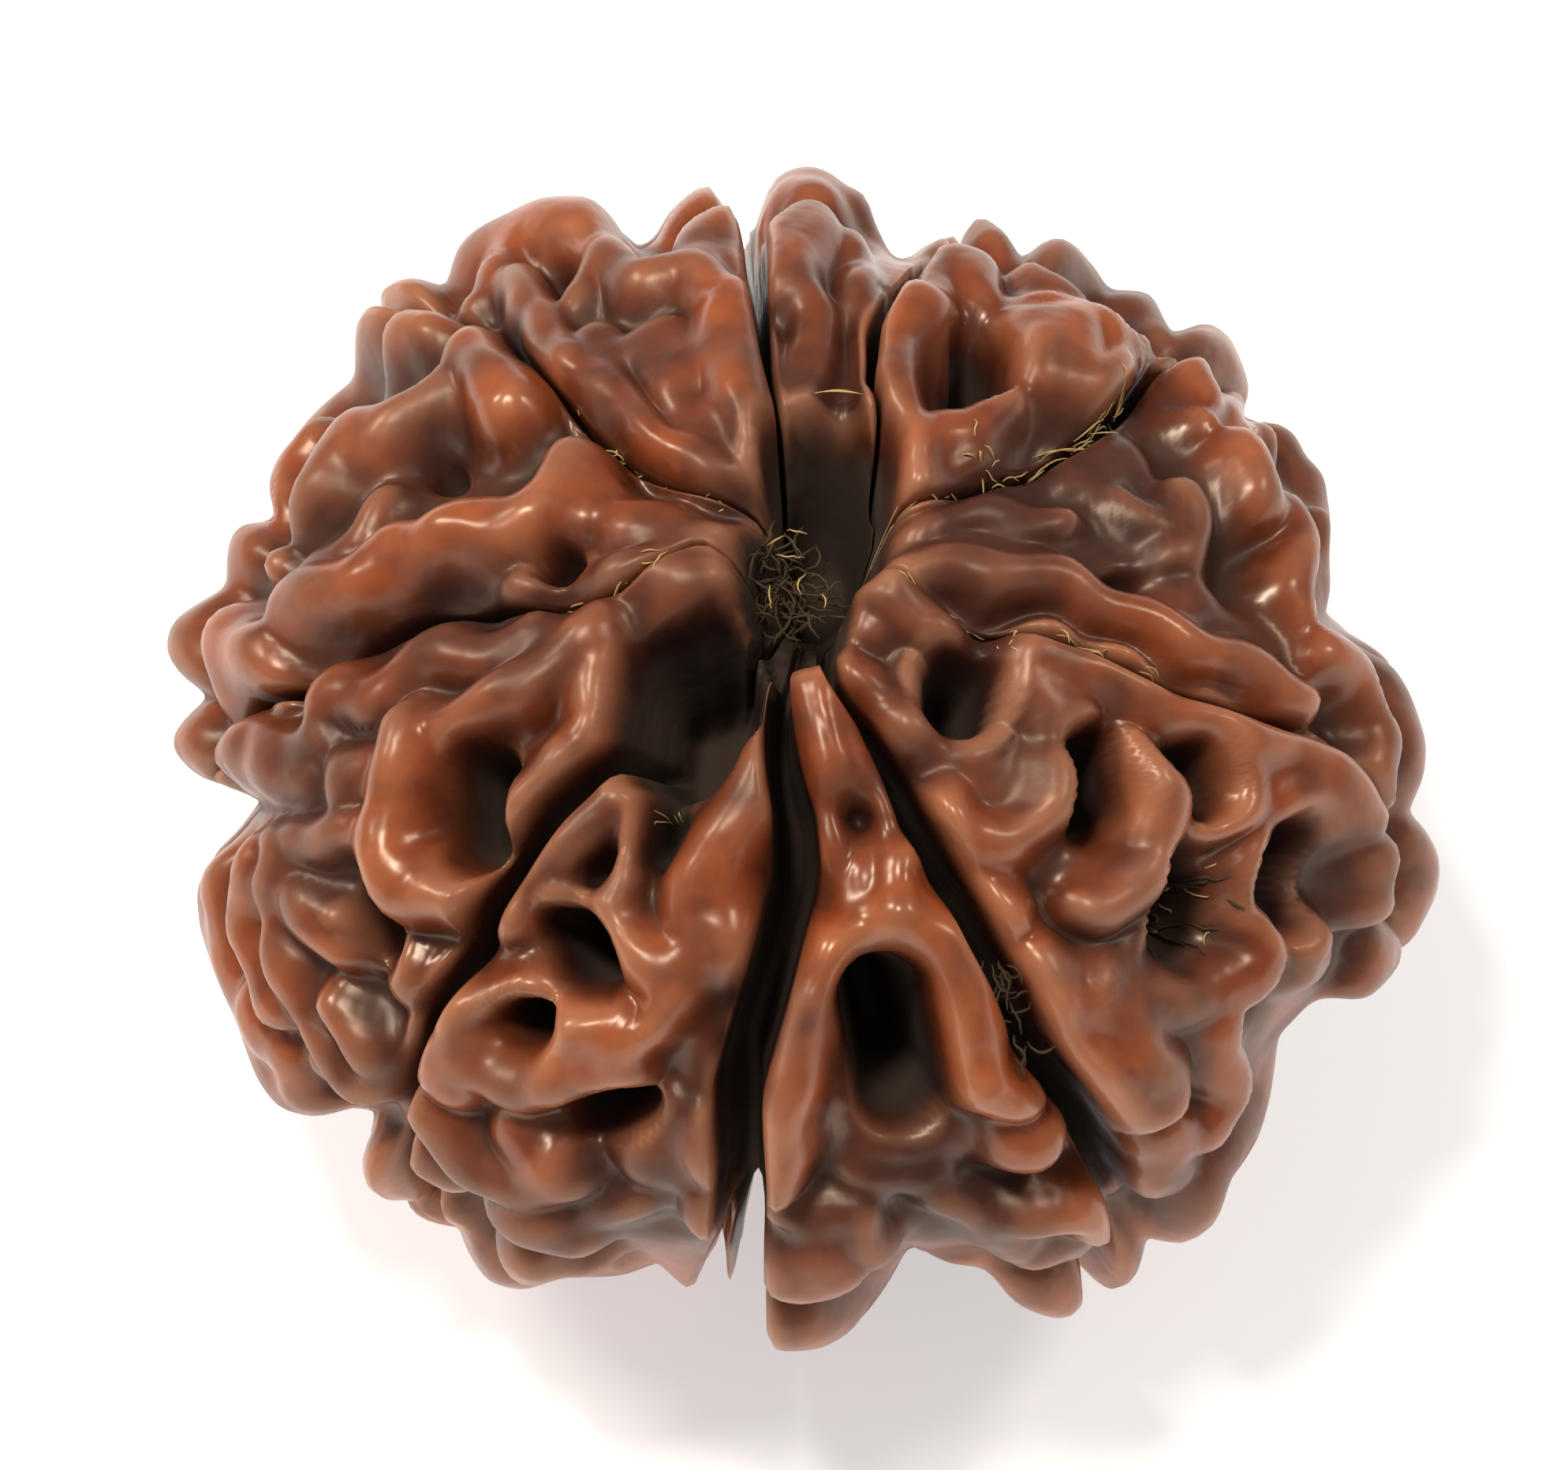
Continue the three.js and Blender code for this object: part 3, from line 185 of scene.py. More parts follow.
# %% Ridges
RIDGES = {
  "top": [
    [0.62, -0.15, [1020, 240], [1010, 290], [1005, 335]],
    [0.3, -0.6, [1080, 250], [1098, 310], [1104, 375]],
    [0.5, -0.6, [1035, 350], [1012, 410], [1008, 470], [1022, 525]],
    [0.45, -1.5, [1070, 370], [1062, 460]],
  ],
  "topRight": [
    [0.46, -0.1, [1163, 352], [1135, 400], [1142, 460], [1158, 520], [1160, 572]],
    [0.3, -0.5, [1165, 582], [1200, 562], [1242, 545]],
    [0.36, -0.35, [1180, 535], [1215, 516], [1260, 508], [1285, 485]],
    [0.4, -0.3, [1285, 482]],
    [0.42, -0.5, [1200, 305], [1190, 345]],
    [0.5, -0.4, [1240, 290], [1262, 335]],
    [0.75, 0.1, [1335, 390], [1345, 425]],
    [0.5, -0.1, [1318, 425], [1340, 462], [1400, 462], [1425, 440]],
    [0.36, -0.1, [1340, 352], [1400, 397]],
    [0.42, -0.2, [1395, 405], [1437, 405]],
    [0.38, -0.3, [1330, 318], [1378, 345]],
    [0.25, -0.5, [1455, 385]],
  ],
  "right": [
    [0.6, -0.2, [1525, 435], [1545, 470]],
    [0.35, -0.3, [1548, 512]],
    [0.66, 0, [1592, 565], [1618, 600]],
    [0.3, -0.4, [1520, 598], [1540, 650], [1548, 692]],
    [0.4, -0.3, [1664, 608], [1678, 680], [1672, 760]],
    [0.36, -0.6, [1440, 600], [1498, 640], [1520, 685]],
    [0.22, -0.8, [1565, 728], [1526, 754], [1530, 790]],
    [0.7, -1.0, [1400, 560], [1465, 535]],
    [0.4, -1.1, [1525, 705], [1525, 730]],
    [0.42, -0.7, [1190, 628], [1290, 620], [1370, 640]],
    [0.34, -0.7, [1145, 652], [1190, 632]],
    [0.45, -0.9, [1160, 672], [1250, 665], [1340, 685]],
    [0.32, -0.15, [1135, 698], [1200, 697], [1250, 705], [1310, 715], [1370, 727], [1430, 760],
      [1500, 795], [1580, 832], [1640, 862], [1685, 888]],
    [0.7, -1.0, [1590, 770], [1660, 800]],
    [0.55, -0.2, [1706, 810], [1755, 855], [1782, 920], [1780, 985]],
  ],
  "lowerRight": [
    [0.42, -0.2, [1095, 702], [1148, 737], [1190, 785]],
    [0.4, -0.5, [1075, 730], [1062, 775], [1105, 770]],
    [0.28, -0.4, [1042, 792], [1062, 820], [1110, 842], [1142, 882], [1160, 925]],
    [0.3, -0.3, [1172, 830], [1170, 895], [1192, 935], [1225, 940], [1262, 915], [1290, 880], [1303, 825]],
    [0.36, -0.1, [1300, 815], [1350, 810], [1400, 835], [1450, 868], [1500, 893], [1550, 905],
      [1600, 928], [1645, 948], [1700, 965], [1760, 1008]],
    [0.75, -0.3, [1350, 865], [1365, 905]],
    [0.85, -0.5, [1225, 985], [1300, 960]],
    [0.36, 0, [1465, 955], [1480, 1025], [1488, 1080], [1455, 1112], [1403, 1150]],
    [0.26, -0.2, [1560, 925], [1610, 965], [1602, 1020], [1545, 1040]],
    [0.5, -0.3, [1645, 1005], [1700, 1015], [1760, 1030]],
    [0.34, 0, [1200, 1030], [1222, 1062], [1290, 1052], [1332, 1022], [1350, 960]],
    [0.36, -0.2, [1185, 1000], [1228, 1090], [1288, 1190]],
    [0.5, -0.6, [1270, 1110], [1300, 1160]],
    [0.5, -0.7, [1340, 1090], [1400, 1100]],
    [0.3, -0.5, [1632, 1062], [1618, 1120], [1612, 1160], [1640, 1200]],
    [0.5, -0.3, [1440, 1270], [1540, 1290], [1615, 1258], [1645, 1205]],
    [0.3, -0.5, [1490, 1170], [1450, 1215], [1432, 1270]],
    [0.5, -0.2, [1690, 1180], [1700, 1200]],
    [0.66, 0, [1775, 1095], [1770, 1140]],
    [0.4, -0.6, [1720, 1235], [1690, 1240]],
    [0.48, 0.1, [1330, 1250], [1348, 1310], [1395, 1370], [1462, 1430]],
    [0.44, 0.05, [1400, 1255], [1440, 1315], [1490, 1370], [1492, 1410]],
    [0.6, -0.3, [1578, 1330], [1588, 1400], [1562, 1460]],
    [0.6, -0.4, [1500, 1480], [1515, 1530]],
  ],
  "front": [
    [0.34, -0.2, [1015, 850], [1045, 910], [1060, 975]],
    [0.32, -0.35, [1045, 860], [1080, 925], [1092, 985]],
    [0.2, -0.6, [1048, 1010], [1060, 1080], [1075, 1130]],
    [0.2, -0.6, [1108, 1010], [1128, 1070], [1142, 1110]],
    [0.36, -0.35, [1105, 1110], [1120, 1145]],
    [0.3, 0, [1148, 1100], [1152, 1150]],
    [0.32, 0.15, [1145, 1158], [1095, 1180], [1055, 1205], [1035, 1260]],
    [0.44, 0.1, [1030, 1275], [1005, 1350], [988, 1420], [978, 1500], [980, 1525]],
    [0.46, 0.15, [1150, 1165], [1200, 1205], [1232, 1255], [1245, 1320], [1248, 1370]],
    [0.42, 0.1, [1235, 1390], [1285, 1405]],
    [0.7, -1.2, [1120, 1510], [1200, 1500]],
    [0.5, -0.9, [1110, 1540], [1210, 1545]],
    [0.45, -0.3, [1290, 1470], [1340, 1470]],
    [0.5, -0.2, [1320, 1570], [1370, 1565], [1415, 1590]],
    [0.6, -0.7, [1225, 1575], [1310, 1625]],
    [0.5, -0.6, [1340, 1635], [1405, 1625]],
    [0.34, -0.6, [975, 1580], [1000, 1600], [1060, 1585]],
    [0.8, -0.1, [1000, 1650], [1035, 1640]],
    [0.3, -0.4, [1092, 1580], [1105, 1620]],
  ],
  "lowerLeft": [
    [0.3, -0.4, [972, 872], [965, 920], [950, 960]],
    [0.62, 0, [945, 985], [925, 1040], [905, 1110]],
    [0.75, -0.15, [900, 1120], [885, 1210]],
    [0.32, -0.3, [782, 968], [745, 1005], [715, 1050], [680, 1092], [648, 1140], [628, 1180]],
    [0.28, -0.3, [782, 980], [790, 1045], [785, 1110], [765, 1145]],
    [0.32, -0.3, [700, 1130], [735, 1155], [775, 1150]],
    [0.3, 0.1, [700, 1155], [750, 1187], [800, 1203], [832, 1225], [845, 1270], [830, 1310], [785, 1330],
      [715, 1322]],
    [0.3, 0, [770, 1285], [740, 1318], [700, 1345]],
    [0.34, -0.3, [700, 1355], [745, 1365], [795, 1368]],
    [0.3, 0, [545, 1285], [600, 1270], [655, 1265], [690, 1285], [698, 1330], [682, 1385]],
    [0.42, 0, [560, 1310], [600, 1370], [640, 1395], [672, 1375]],
    [0.66, -0.1, [525, 1355], [550, 1370]],
    [0.42, -0.1, [505, 1415], [545, 1470], [600, 1510], [650, 1530], [697, 1510]],
    [0.6, -0.5, [620, 1450], [650, 1490]],
    [0.6, -0.4, [490, 1485], [545, 1520]],
    [0.75, 0, [655, 1580], [672, 1585]],
    [0.5, -0.7, [740, 1580], [800, 1575]],
    [0.9, -0.7, [815, 1450], [820, 1520]],
    [0.5, -0.9, [870, 1330], [870, 1400]],
    [0.4, -0.5, [885, 1450], [900, 1520]],
    [0.4, -0.5, [880, 1560], [890, 1600]],
  ],
  "left": [
    [0.42, -0.15, [775, 712], [850, 704], [922, 705]],
    [0.5, -0.6, [790, 745], [870, 745]],
    [0.62, -0.5, [640, 790], [560, 805], [455, 850], [385, 872]],
    [0.4, -0.2, [745, 775], [735, 830], [755, 880], [785, 930]],
    [0.4, -0.15, [710, 800], [650, 850], [600, 885], [555, 910]],
    [0.34, -0.3, [740, 930], [690, 960], [640, 1000]],
    [0.36, 0.05, [700, 960], [655, 1030], [610, 1095], [562, 1140], [505, 1140], [462, 1105]],
    [0.4, 0.05, [500, 920], [478, 990], [465, 1050], [480, 1105]],
    [0.26, -0.3, [500, 1090], [530, 1120], [568, 1098]],
    [0.6, -0.3, [405, 985], [430, 975]],
    [0.45, -0.5, [375, 932], [300, 930], [238, 942]],
    [0.4, -0.6, [350, 985], [260, 975]],
    [0.42, -0.2, [285, 1095], [272, 1140], [275, 1190], [300, 1250], [322, 1290]],
    [0.28, -0.2, [312, 1070], [328, 1100], [312, 1150], [316, 1210], [340, 1265]],
    [0.42, -0.3, [345, 1065], [400, 1052], [440, 1075]],
    [0.28, -0.3, [360, 1130], [342, 1180], [385, 1225]],
    [0.36, -0.4, [385, 1165]],
    [0.3, -0.3, [345, 1290], [368, 1335], [405, 1385], [435, 1395]],
    [0.4, -0.3, [400, 1300], [432, 1350]],
    [0.5, -0.5, [370, 1380]],
    [0.5, -0.6, [450, 1200], [480, 1260]],
  ],
  "upperLeft": [
    [0.62, 0, [540, 478], [465, 520], [405, 570], [378, 615]],
    [0.62, 0, [505, 402]],
    [0.3, -0.7, [540, 370], [585, 400]],
    [0.5, 0, [585, 432], [618, 455], [632, 492]],
    [0.3, -0.5, [445, 600], [432, 642], [400, 672], [365, 705]],
    [0.62, -0.1, [560, 668], [480, 688], [420, 715], [340, 760]],
    [0.35, -0.3, [322, 682]],
    [0.62, -0.1, [255, 800], [300, 810]],
    [0.4, -0.4, [245, 845], [300, 850]],
    [0.5, 0, [560, 655], [610, 645], [660, 635]],
    [0.5, 0, [665, 625], [700, 570]],
    [0.6, -0.5, [700, 640], [740, 610]],
    [0.4, -0.3, [775, 628], [830, 635], [905, 660]],
    [0.34, -0.4, [770, 655], [850, 665], [915, 670]],
    [0.45, -0.5, [720, 700], [640, 710]],
  ],
  "topLeft": [
    [0.42, -0.1, [635, 315], [668, 280], [718, 265], [758, 288], [782, 330]],
    [0.28, -0.3, [660, 322], [628, 330], [640, 362]],
    [0.3, -0.3, [645, 330], [668, 362], [682, 402], [700, 440]],
    [0.34, -0.3, [748, 302], [722, 340]],
    [0.25, -0.5, [592, 300]],
    [0.25, -0.5, [574, 352]],
    [0.5, -0.2, [900, 255], [890, 300]],
    [0.25, -0.4, [928, 250], [938, 310]],
    [0.45, 0, [820, 330], [870, 325], [912, 345]],
    [0.38, 0, [905, 370], [925, 430], [952, 485], [982, 545]],
    [0.9, -0.35, [830, 400], [860, 440]],
    [0.6, -0.5, [880, 490], [925, 550]],
    [0.34, -0.3, [715, 430], [780, 475], [832, 525], [885, 565]],
    [0.5, -0.5, [740, 390], [770, 420]],
  ],
}
print(sum(len(lobe) for lobe in RIDGES.values()), "ridges and knobs on", len(RIDGES), "lobes")

# %% [markdown]
# Pits are deep hollows between the ridges, near black inside. A pit is half its width, the level of
# its floor, and the pixels along it. Ridges may run over a pit's edge. The hollows are cut last, so
# nothing runs over theirs.

# %% Pits
HOLLOWS = [
  [1.3, -5, [1052, 545], [1052, 600], [1046, 650]],
  [0.75, -3.4, [985, 660], [985, 730], [997, 780]],
  [0.75, -3.4, [1038, 690], [1030, 740], [1022, 775]],
  [1.25, -5, [858, 850], [850, 915]],
  [0.75, -5, [905, 812], [895, 875]],
  [0.6, -5, [1125, 1275], [1140, 1350], [1155, 1420]],
]
PITS = [
  [0.3, -3, [822, 1012], [820, 1080]],
  [0.36, -4, [1240, 385], [1252, 440]],
  [0.32, -3, [1460, 712]],
  [0.6, -3.4, [1228, 835], [1232, 880]],
  [0.32, -4, [1410, 955], [1405, 1025]],
  [0.55, -3.2, [1535, 975], [1550, 995]],
  [0.8, -3, [1540, 1110], [1530, 1200]],
  [0.5, -4, [1685, 1080], [1675, 1150]],
  [0.2, -2.4, [1084, 1035]],
  [0.3, -2.6, [740, 1088]],
  [0.4, -4, [705, 1190], [730, 1240]],
  [0.3, -4, [650, 1308]],
  [0.42, -4.4, [580, 975], [572, 1060]],
  [0.3, -3.6, [437, 1150], [440, 1190]],
  [0.3, -3, [710, 305]],
  [0.5, -3.4, [720, 1450], [770, 1420]],
  [0.35, -3, [520, 560]],
  [0.3, -3, [690, 700]],
]
print(len(PITS), "pits and", len(HOLLOWS), "hollows")

# %% [markdown]
# The far side and the underside can't be seen. They repeat the traced lines, turned half round about
# the bead's left-to-right axis, which carries the seen half onto the unseen one. A mirror image would
# fit too, but the eye finds a mirror's symmetry at once. The turned lines are then eased round the
# bead, so that each cleft meets the one it runs into.

# %% Carry the lines to the unseen side
FULL_TURN = 2 * np.pi


def short_way(angle):
    """The same turn, at most half round either way."""
    return (angle + np.pi) % FULL_TURN - np.pi


def azimuth_of(points):
    """Angle round the bead, from its right side."""
    return np.arctan2(points[..., 1], points[..., 0])


def carry_table():
    """Where each turned cleft arrives, and how far round it has to move to meet its partner."""
    rows = []
    for name, partner in TURNED_PARTNER.items():
        end = azimuth_of(pixels_to_skin(CLEFTS[name][-1:]))[0]
        start = -azimuth_of(pixels_to_skin(CLEFTS[partner][-1:]))[0]
        rows.append((start, short_way(end - start)))
    rows.sort()
    last, first = rows[-1], rows[0]  # repeated a turn away, so that the table goes all the way round
    return np.array([(last[0] - FULL_TURN, last[1])] + rows + [(first[0] + FULL_TURN, first[1])])


carry_rows = carry_table()


def carried(points):
    """Points of the seen side as they lie on the hidden side."""
    turned = points * np.array([1, -1, -1])
    azimuth = azimuth_of(turned)
    azimuth = azimuth + np.interp(azimuth, carry_rows[:, 0], carry_rows[:, 1])
    across = np.hypot(turned[:, 0], turned[:, 1])
    return np.stack([across * np.cos(azimuth), across * np.sin(azimuth), turned[:, 2]], axis=1)


def both_sides(lines):
    """Lines of (half, level, points on the skin), on the seen side and on the other."""
    made = []
    for half, level, *pixels in lines:
        seen = pixels_to_skin(pixels)
        made += [(half, level, seen), (half, level, carried(seen))]
    return made


ridge_lines = both_sides([line for lobe in RIDGES.values() for line in lobe])
pit_lines = both_sides(PITS)
hollow_lines = both_sides(HOLLOWS)
print("on both sides:", len(ridge_lines), "ridges,", len(pit_lines), "pits,", len(hollow_lines), "hollows")

# %% [markdown]
# The relief is one formula: the lobes' floor, sunk where there are pits, and raised where there are
# ridges. Ridges have a round top and steep flanks, and run into each other with a soft fillet. A real
# nut has no sharp inside corner anywhere, so every joint in the formula is such a fillet.

# %% Relief formula
NO_LENGTH = 1e-9  # keeps a leg of a line from dividing by nothing


def outwards_at(skin):
    """Direction straight out of the skin."""
    normal = skin / SKIN ** 2
    return normal / np.linalg.norm(normal, axis=1, keepdims=True)


def distance_to_line(points, line):
    """Distance of each point to a line of points, or to its one point."""
    if len(line) == 1:
        return np.linalg.norm(points - line[0], axis=1)
    least = np.full(len(points), np.inf)
    for start, end in zip(line[:-1], line[1:]):
        step = end - start
        share = np.clip((points - start) @ step / max(step @ step, NO_LENGTH), 0, 1)
        least = np.minimum(least, np.linalg.norm(points - start - share[:, None] * step, axis=1))
    return least


def near_line(points, line, reach):
    """Which points are in a ball round the line. The others needn't be measured."""
    middle = (line.min(axis=0) + line.max(axis=0)) / 2
    radius = np.linalg.norm(line - middle, axis=1).max() + reach
    return np.nonzero(((points - middle) ** 2).sum(axis=1) < radius ** 2)[0]


def blended_max(a, b, width):
    """The higher of two levels, with a fillet a quarter of width high where they cross."""
    overlap = np.maximum(width - np.abs(a - b), 0)
    return np.maximum(a, b) + overlap ** 2 / (4 * width)


def blended_min(a, b, width):
    """The lower of two levels, rounded in the same way."""
    return -blended_max(-a, -b, width)


def drop_from_crest(distance, half):
    """How far a ridge's surface is below its crest: round on top, then straight down its flank."""
    share = np.minimum(distance / half, SHOULDER)
    rest = 1 - share ** RIDGE_POWER
    slope = share ** (RIDGE_POWER - 1) * rest ** (1 / RIDGE_POWER - 1)
    return half * (1 - rest ** (1 / RIDGE_POWER)) + (distance - share * half) * slope


for share_out in (0.5, 1.0):
    print("drop", share_out, "of the way to a ridge's side:",
          drop_from_crest(np.array([share_out]), 1.0).round(2), "of its half width")

# %% [markdown]
# The outline of the photograph fixes how far the surface may reach where it turns away from the eye.
# A meandering rim fills that outline, and nothing passes it. Without it the silhouette would depend on
# how high each ridge near it was guessed.

# %% Outline rule
LEAST_FORESHORTENING = 0.05  # where the skin faces the eye, the outline is no limit
RIM_WAVES = ((0.6, 7, 0), (0.4, 16, 2))  # share of RIM_DEG, waves in a turn, start
NO_RIM = -99.0  # level where there is none


def outline_table():
    """Angles round the outline in the picture, and its distance from the middle there."""
    place = picture_place(OUTLINE)
    angle = np.arctan2(place[:, 1], place[:, 0])
    order = np.argsort(angle, kind="stable")
    return angle[order], np.linalg.norm(place, axis=1)[order]


outline_angles, outline_radii = outline_table()


def seen_from_eye(skin):
    """Lean to the eye, angle in the picture, and room to the outline straight out of the skin."""
    lean = outwards_at(skin) @ towards_eye
    nearness = VIEW_DISTANCE / (VIEW_DISTANCE - skin @ towards_eye)
    up = skin @ picture_up
    angle = np.arctan2(up, skin[:, 0])
    radius = np.interp(angle, outline_angles, outline_radii, period=FULL_TURN)
    gap = radius / nearness - np.hypot(skin[:, 0], up)
    return lean, angle, gap / np.maximum(np.sqrt(1 - lean ** 2), LEAST_FORESHORTENING)


def rim_level(lean, angle, room):
    """Level of the rim, highest where the skin turns away from the eye."""
    meander = sum(share * np.sin(waves * angle + start) for share, waves, start in RIM_WAVES)
    aside = np.degrees(np.arcsin(lean)) / RIM_DEG - meander
    fillet = BLEND / 4  # what the blend with the outline takes off again
    return np.where(np.abs(aside) > RIM_REACH, NO_RIM, room + fillet - RIM_FALL * aside ** 2)


print("outline, millimetres from the middle:", outline_radii.min().round(2), "to",
      outline_radii.max().round(2))

# %% [markdown]
# The belt just beyond the outline can't be seen, so short ridges wander over it at random. Their draws
# come from a plain multiplying generator with a fixed seed, so each run makes the same bead.

# %% Belt of random ridges
BELT_RIDGES = 80
BELT_SEED = 8
BELT_LEAN = np.radians([-30, 13])  # from the outline's plane, towards the eye
BELT_HALF = (0.45, 0.85)  # least and most half width
BELT_CREST = (-0.7, -0.05)  # lowest and highest crest, from the skin
BELT_STEPS = 5  # most points of a belt ridge
BELT_STEP = 0.055  # radians from one to the next
BELT_BEND = 0.9  # most turn between steps, radians
RANDOM_FACTOR = 16807
RANDOM_RANGE = 2147483647


def point_leaning(angle, lean):
    """Point of the skin whose outward direction is at an angle in the picture and leans to the eye."""
    outwards = (np.cos(lean) * np.cos(angle) * np.array([1, 0, 0])
                + np.cos(lean) * np.sin(angle) * picture_up + np.sin(lean) * towards_eye)
    scaled = outwards * SKIN
    return scaled * SKIN / np.linalg.norm(scaled)


def belt_draws():
    """Endless draws from 0 to 1."""
    state = BELT_SEED
    while True:
        state = state * RANDOM_FACTOR % RANDOM_RANGE
        yield state / RANDOM_RANGE


def between(limits, share):
    return limits[0] + (limits[1] - limits[0]) * share


def make_belt():
    """The belt's ridges as (half, crest, points on the skin)."""
    draws = belt_draws()
    lines = []
    for place in range(BELT_RIDGES):
        angle = (place + next(draws)) * FULL_TURN / BELT_RIDGES
        lean = between(BELT_LEAN, next(draws))
        heading = FULL_TURN * next(draws)
        steps = 1 + (BELT_STEPS - 1) * next(draws)
        line = []
        while steps > 0:
            line.append(point_leaning(angle, lean))
            heading += BELT_BEND * (2 * next(draws) - 1)
            angle += BELT_STEP * np.cos(heading)
            lean += BELT_STEP * np.sin(heading)
            steps -= 1
        half = between(BELT_HALF, next(draws))
        crest = between(BELT_CREST, next(draws))
        lines.append((half, crest, np.array(line)))
    return lines


belt_lines = make_belt()
print(len(belt_lines), "ridges on the belt, with", sum(len(line) for _, _, line in belt_lines), "points")

# %% [markdown]
# A pit has a flat floor and a leaning wall, as if a tapered cutter had followed its line. Cutting is
# simpler than building a wall round each pit, and pits that overlap join up by themselves.

# %% Cut pits
PIT_REACH = 1.0  # a pit's wall has met the floor of the lobe this far from its side


def sunk(level, skin, lines):
    """Levels after cutting the lines' pits into them."""
    for half, floor, line in lines:
        near = near_line(skin, line, half + PIT_REACH)
        rise = np.maximum(0, distance_to_line(skin[near], line) - PIT_FLOOR_SHARE * half)
        level[near] = blended_min(level[near], floor + rise * PIT_WALL_SLOPE, BLEND)
    return level


print("a pit's wall leans by", np.degrees(np.arctan(1 / PIT_WALL_SLOPE)).round(1), "degrees")

# %% [markdown]
# Nothing that grew is even. Sine waves in space, a few millimetres long, bend the traced lines, ripple
# the lobes' floor and make the crests rise and fall. Waves are slow and smooth, which fits a nut worn
# by handling better than a fine noise would.

# %% Unevenness
# A wave is how far it turns for each millimetre along x, y and z, in radians.
WANDER_WAVES = np.array([  # two for each axis along which the lines wander
    [[0, 1.7, 1.1], [-1.4, 0, 3.3]], [[1.3, 0, 1.9], [3.1, -1.2, 0]], [[2.1, -0.9, 0], [0, 2.9, 1.6]]])
FLOOR_WAVES = np.array([[1.3, 0, 0.7], [-0.5, 1.1, 0], [0, 0.9, 1.7]])
FLOOR_THIRD = 1.0  # share of the third wave
CREST_WAVES = np.array([[2.9, 0, 1.3], [-1.1, 2.5, 0], [0, 1.7, 3.3]])
CREST_THIRD = 0.5


def wandered(skin):
    """The skin's points moved a little, so that what is drawn there gets uneven sides."""
    waves = np.sin(skin @ WANDER_WAVES.reshape(-1, 3).T).reshape(-1, 3, 2)
    return skin + WANDER * waves.sum(axis=2)


def unevenness(skin, waves, third_share):
    """Two waves that cross, and a share of a third."""
    first, second, third = np.sin(skin @ waves.T).T
    return first * second + third_share * third


at_side = np.array([[WAIST_RADIUS, 0, 0]])
print("lines wander at the right side by", (wandered(at_side) - at_side).round(2), "mm")

# %% [markdown]
# The whole relief comes together here. The floor comes first, then the pits, the rim and the ridges.
# The pits are cut once more where ridges have filled them, and last the outline trims everything.

# %% Relief
RIDGE_REACH = 2.5  # a ridge's flank has met the floor this far from its side


def relief(skin):
    """Height of the surface above each point of the skin, clefts left out."""
    drawn = wandered(skin)
    wave = unevenness(skin, CREST_WAVES, CREST_THIRD)
    lean, angle, room = seen_from_eye(skin)
    level = LOBE_FLOOR + GRAIN_HEIGHT * unevenness(skin, FLOOR_WAVES, FLOOR_THIRD)
    level = sunk(level, drawn, pit_lines)
    level = blended_max(level, rim_level(lean, angle, room), BLEND)
    for half, crest, line in ridge_lines + belt_lines:
        near = near_line(drawn, line, half + RIDGE_REACH)
        top = crest + RIDGE_UNEVENNESS * wave[near] - drop_from_crest(
            distance_to_line(drawn[near], line), half)
        level[near] = blended_max(level[near], top, RIDGE_BLEND)
    narrower = [(half * AFTER_RIDGES, floor, line) for half, floor, line in pit_lines]
    level = sunk(sunk(level, drawn, narrower), skin, hollow_lines)
    return blended_min(level, room, BLEND)


print("level at the right side, millimetres:", relief(at_side).round(2))

# %% [markdown]
# The inside of a pit is painted dark to its rim, as painted shade. Depth alone can't tell a pit from a
# valley, so being inside one is measured by itself.

# %% Inside the pits
PIT_SHADE_SHARE = 1.05  # a pit's painted shade reaches this share of its half width
PIT_SHADE_FADE = 0.5  # and fades inwards over this share


def hollowness(skin):
    """1 inside pits and hollows, 0 outside, for the finish's painted shade and dullness."""
    inside = np.zeros(len(skin))
    drawn = wandered(skin)
    for half, _, line in pit_lines + hollow_lines:
        near = near_line(drawn, line, half + PIT_REACH)
        share = (PIT_SHADE_SHARE - distance_to_line(drawn[near], line) / half) / PIT_SHADE_FADE
        inside[near] = np.maximum(inside[near], np.clip(share, 0, 1))
    return inside


print("inside a pit at the right side:", hollowness(at_side).round(2))

# %% [markdown]
# A cleft is a crack of a millimetre at most, and an even mesh would make steps of its edges.
# So columns of the mesh follow the clefts. For that, every cleft needs its azimuth at each angle from
# the upper pole.

# %% Courses of the clefts
def mouth_offset(polar):
    """How far the skin is moved aside near a pole, where the thread hole's mouth is."""
    share = np.maximum(0, 1 - WAIST_RADIUS * np.sin(polar) / HOLE_OFFSET_REACH) ** 2
    return share * HOLE_OFFSET[0], share * HOLE_OFFSET[1] * np.sign(np.cos(polar))


def skin_points(azimuth, polar):
    """Points of the skin at angles round the bead and from the upper pole."""
    across = WAIST_RADIUS * np.sin(polar)
    offset_x, offset_y = mouth_offset(polar)
    height = POLE_HEIGHT * np.cos(polar)
    return np.stack([across * np.cos(azimuth) + offset_x, across * np.sin(azimuth) + offset_y, height], -1)


def cleft_course(name):
    """A cleft's width, depth and azimuths, from the upper pole to the lower one."""
    half, depth, *pixels = CLEFTS[name]
    _, _, _, *partner_pixels = CLEFTS[TURNED_PARTNER[name]]  # all but its pixel at the mouth
    seen = pixels_to_skin(pixels)
    hidden = carried(pixels_to_skin(partner_pixels))
    points = np.concatenate([seen, hidden])
    polar = np.arccos(np.clip(points[:, 2] / POLE_HEIGHT, -1, 1))
    offset_x, offset_y = mouth_offset(polar)
    start = azimuth_of(seen[-1])
    azimuth = start + short_way(np.arctan2(points[:, 1] - offset_y, points[:, 0] - offset_x) - start)
    order = np.argsort(polar)
    return {"name": name, "half": half, "depth": depth, "start": start,
            "polar": polar[order], "azimuth": azimuth[order]}


courses = sorted((cleft_course(name) for name in CLEFTS), key=lambda course: course["start"])
print("clefts round the bead, degrees:", [round(float(np.degrees(c["start"]))) for c in courses])

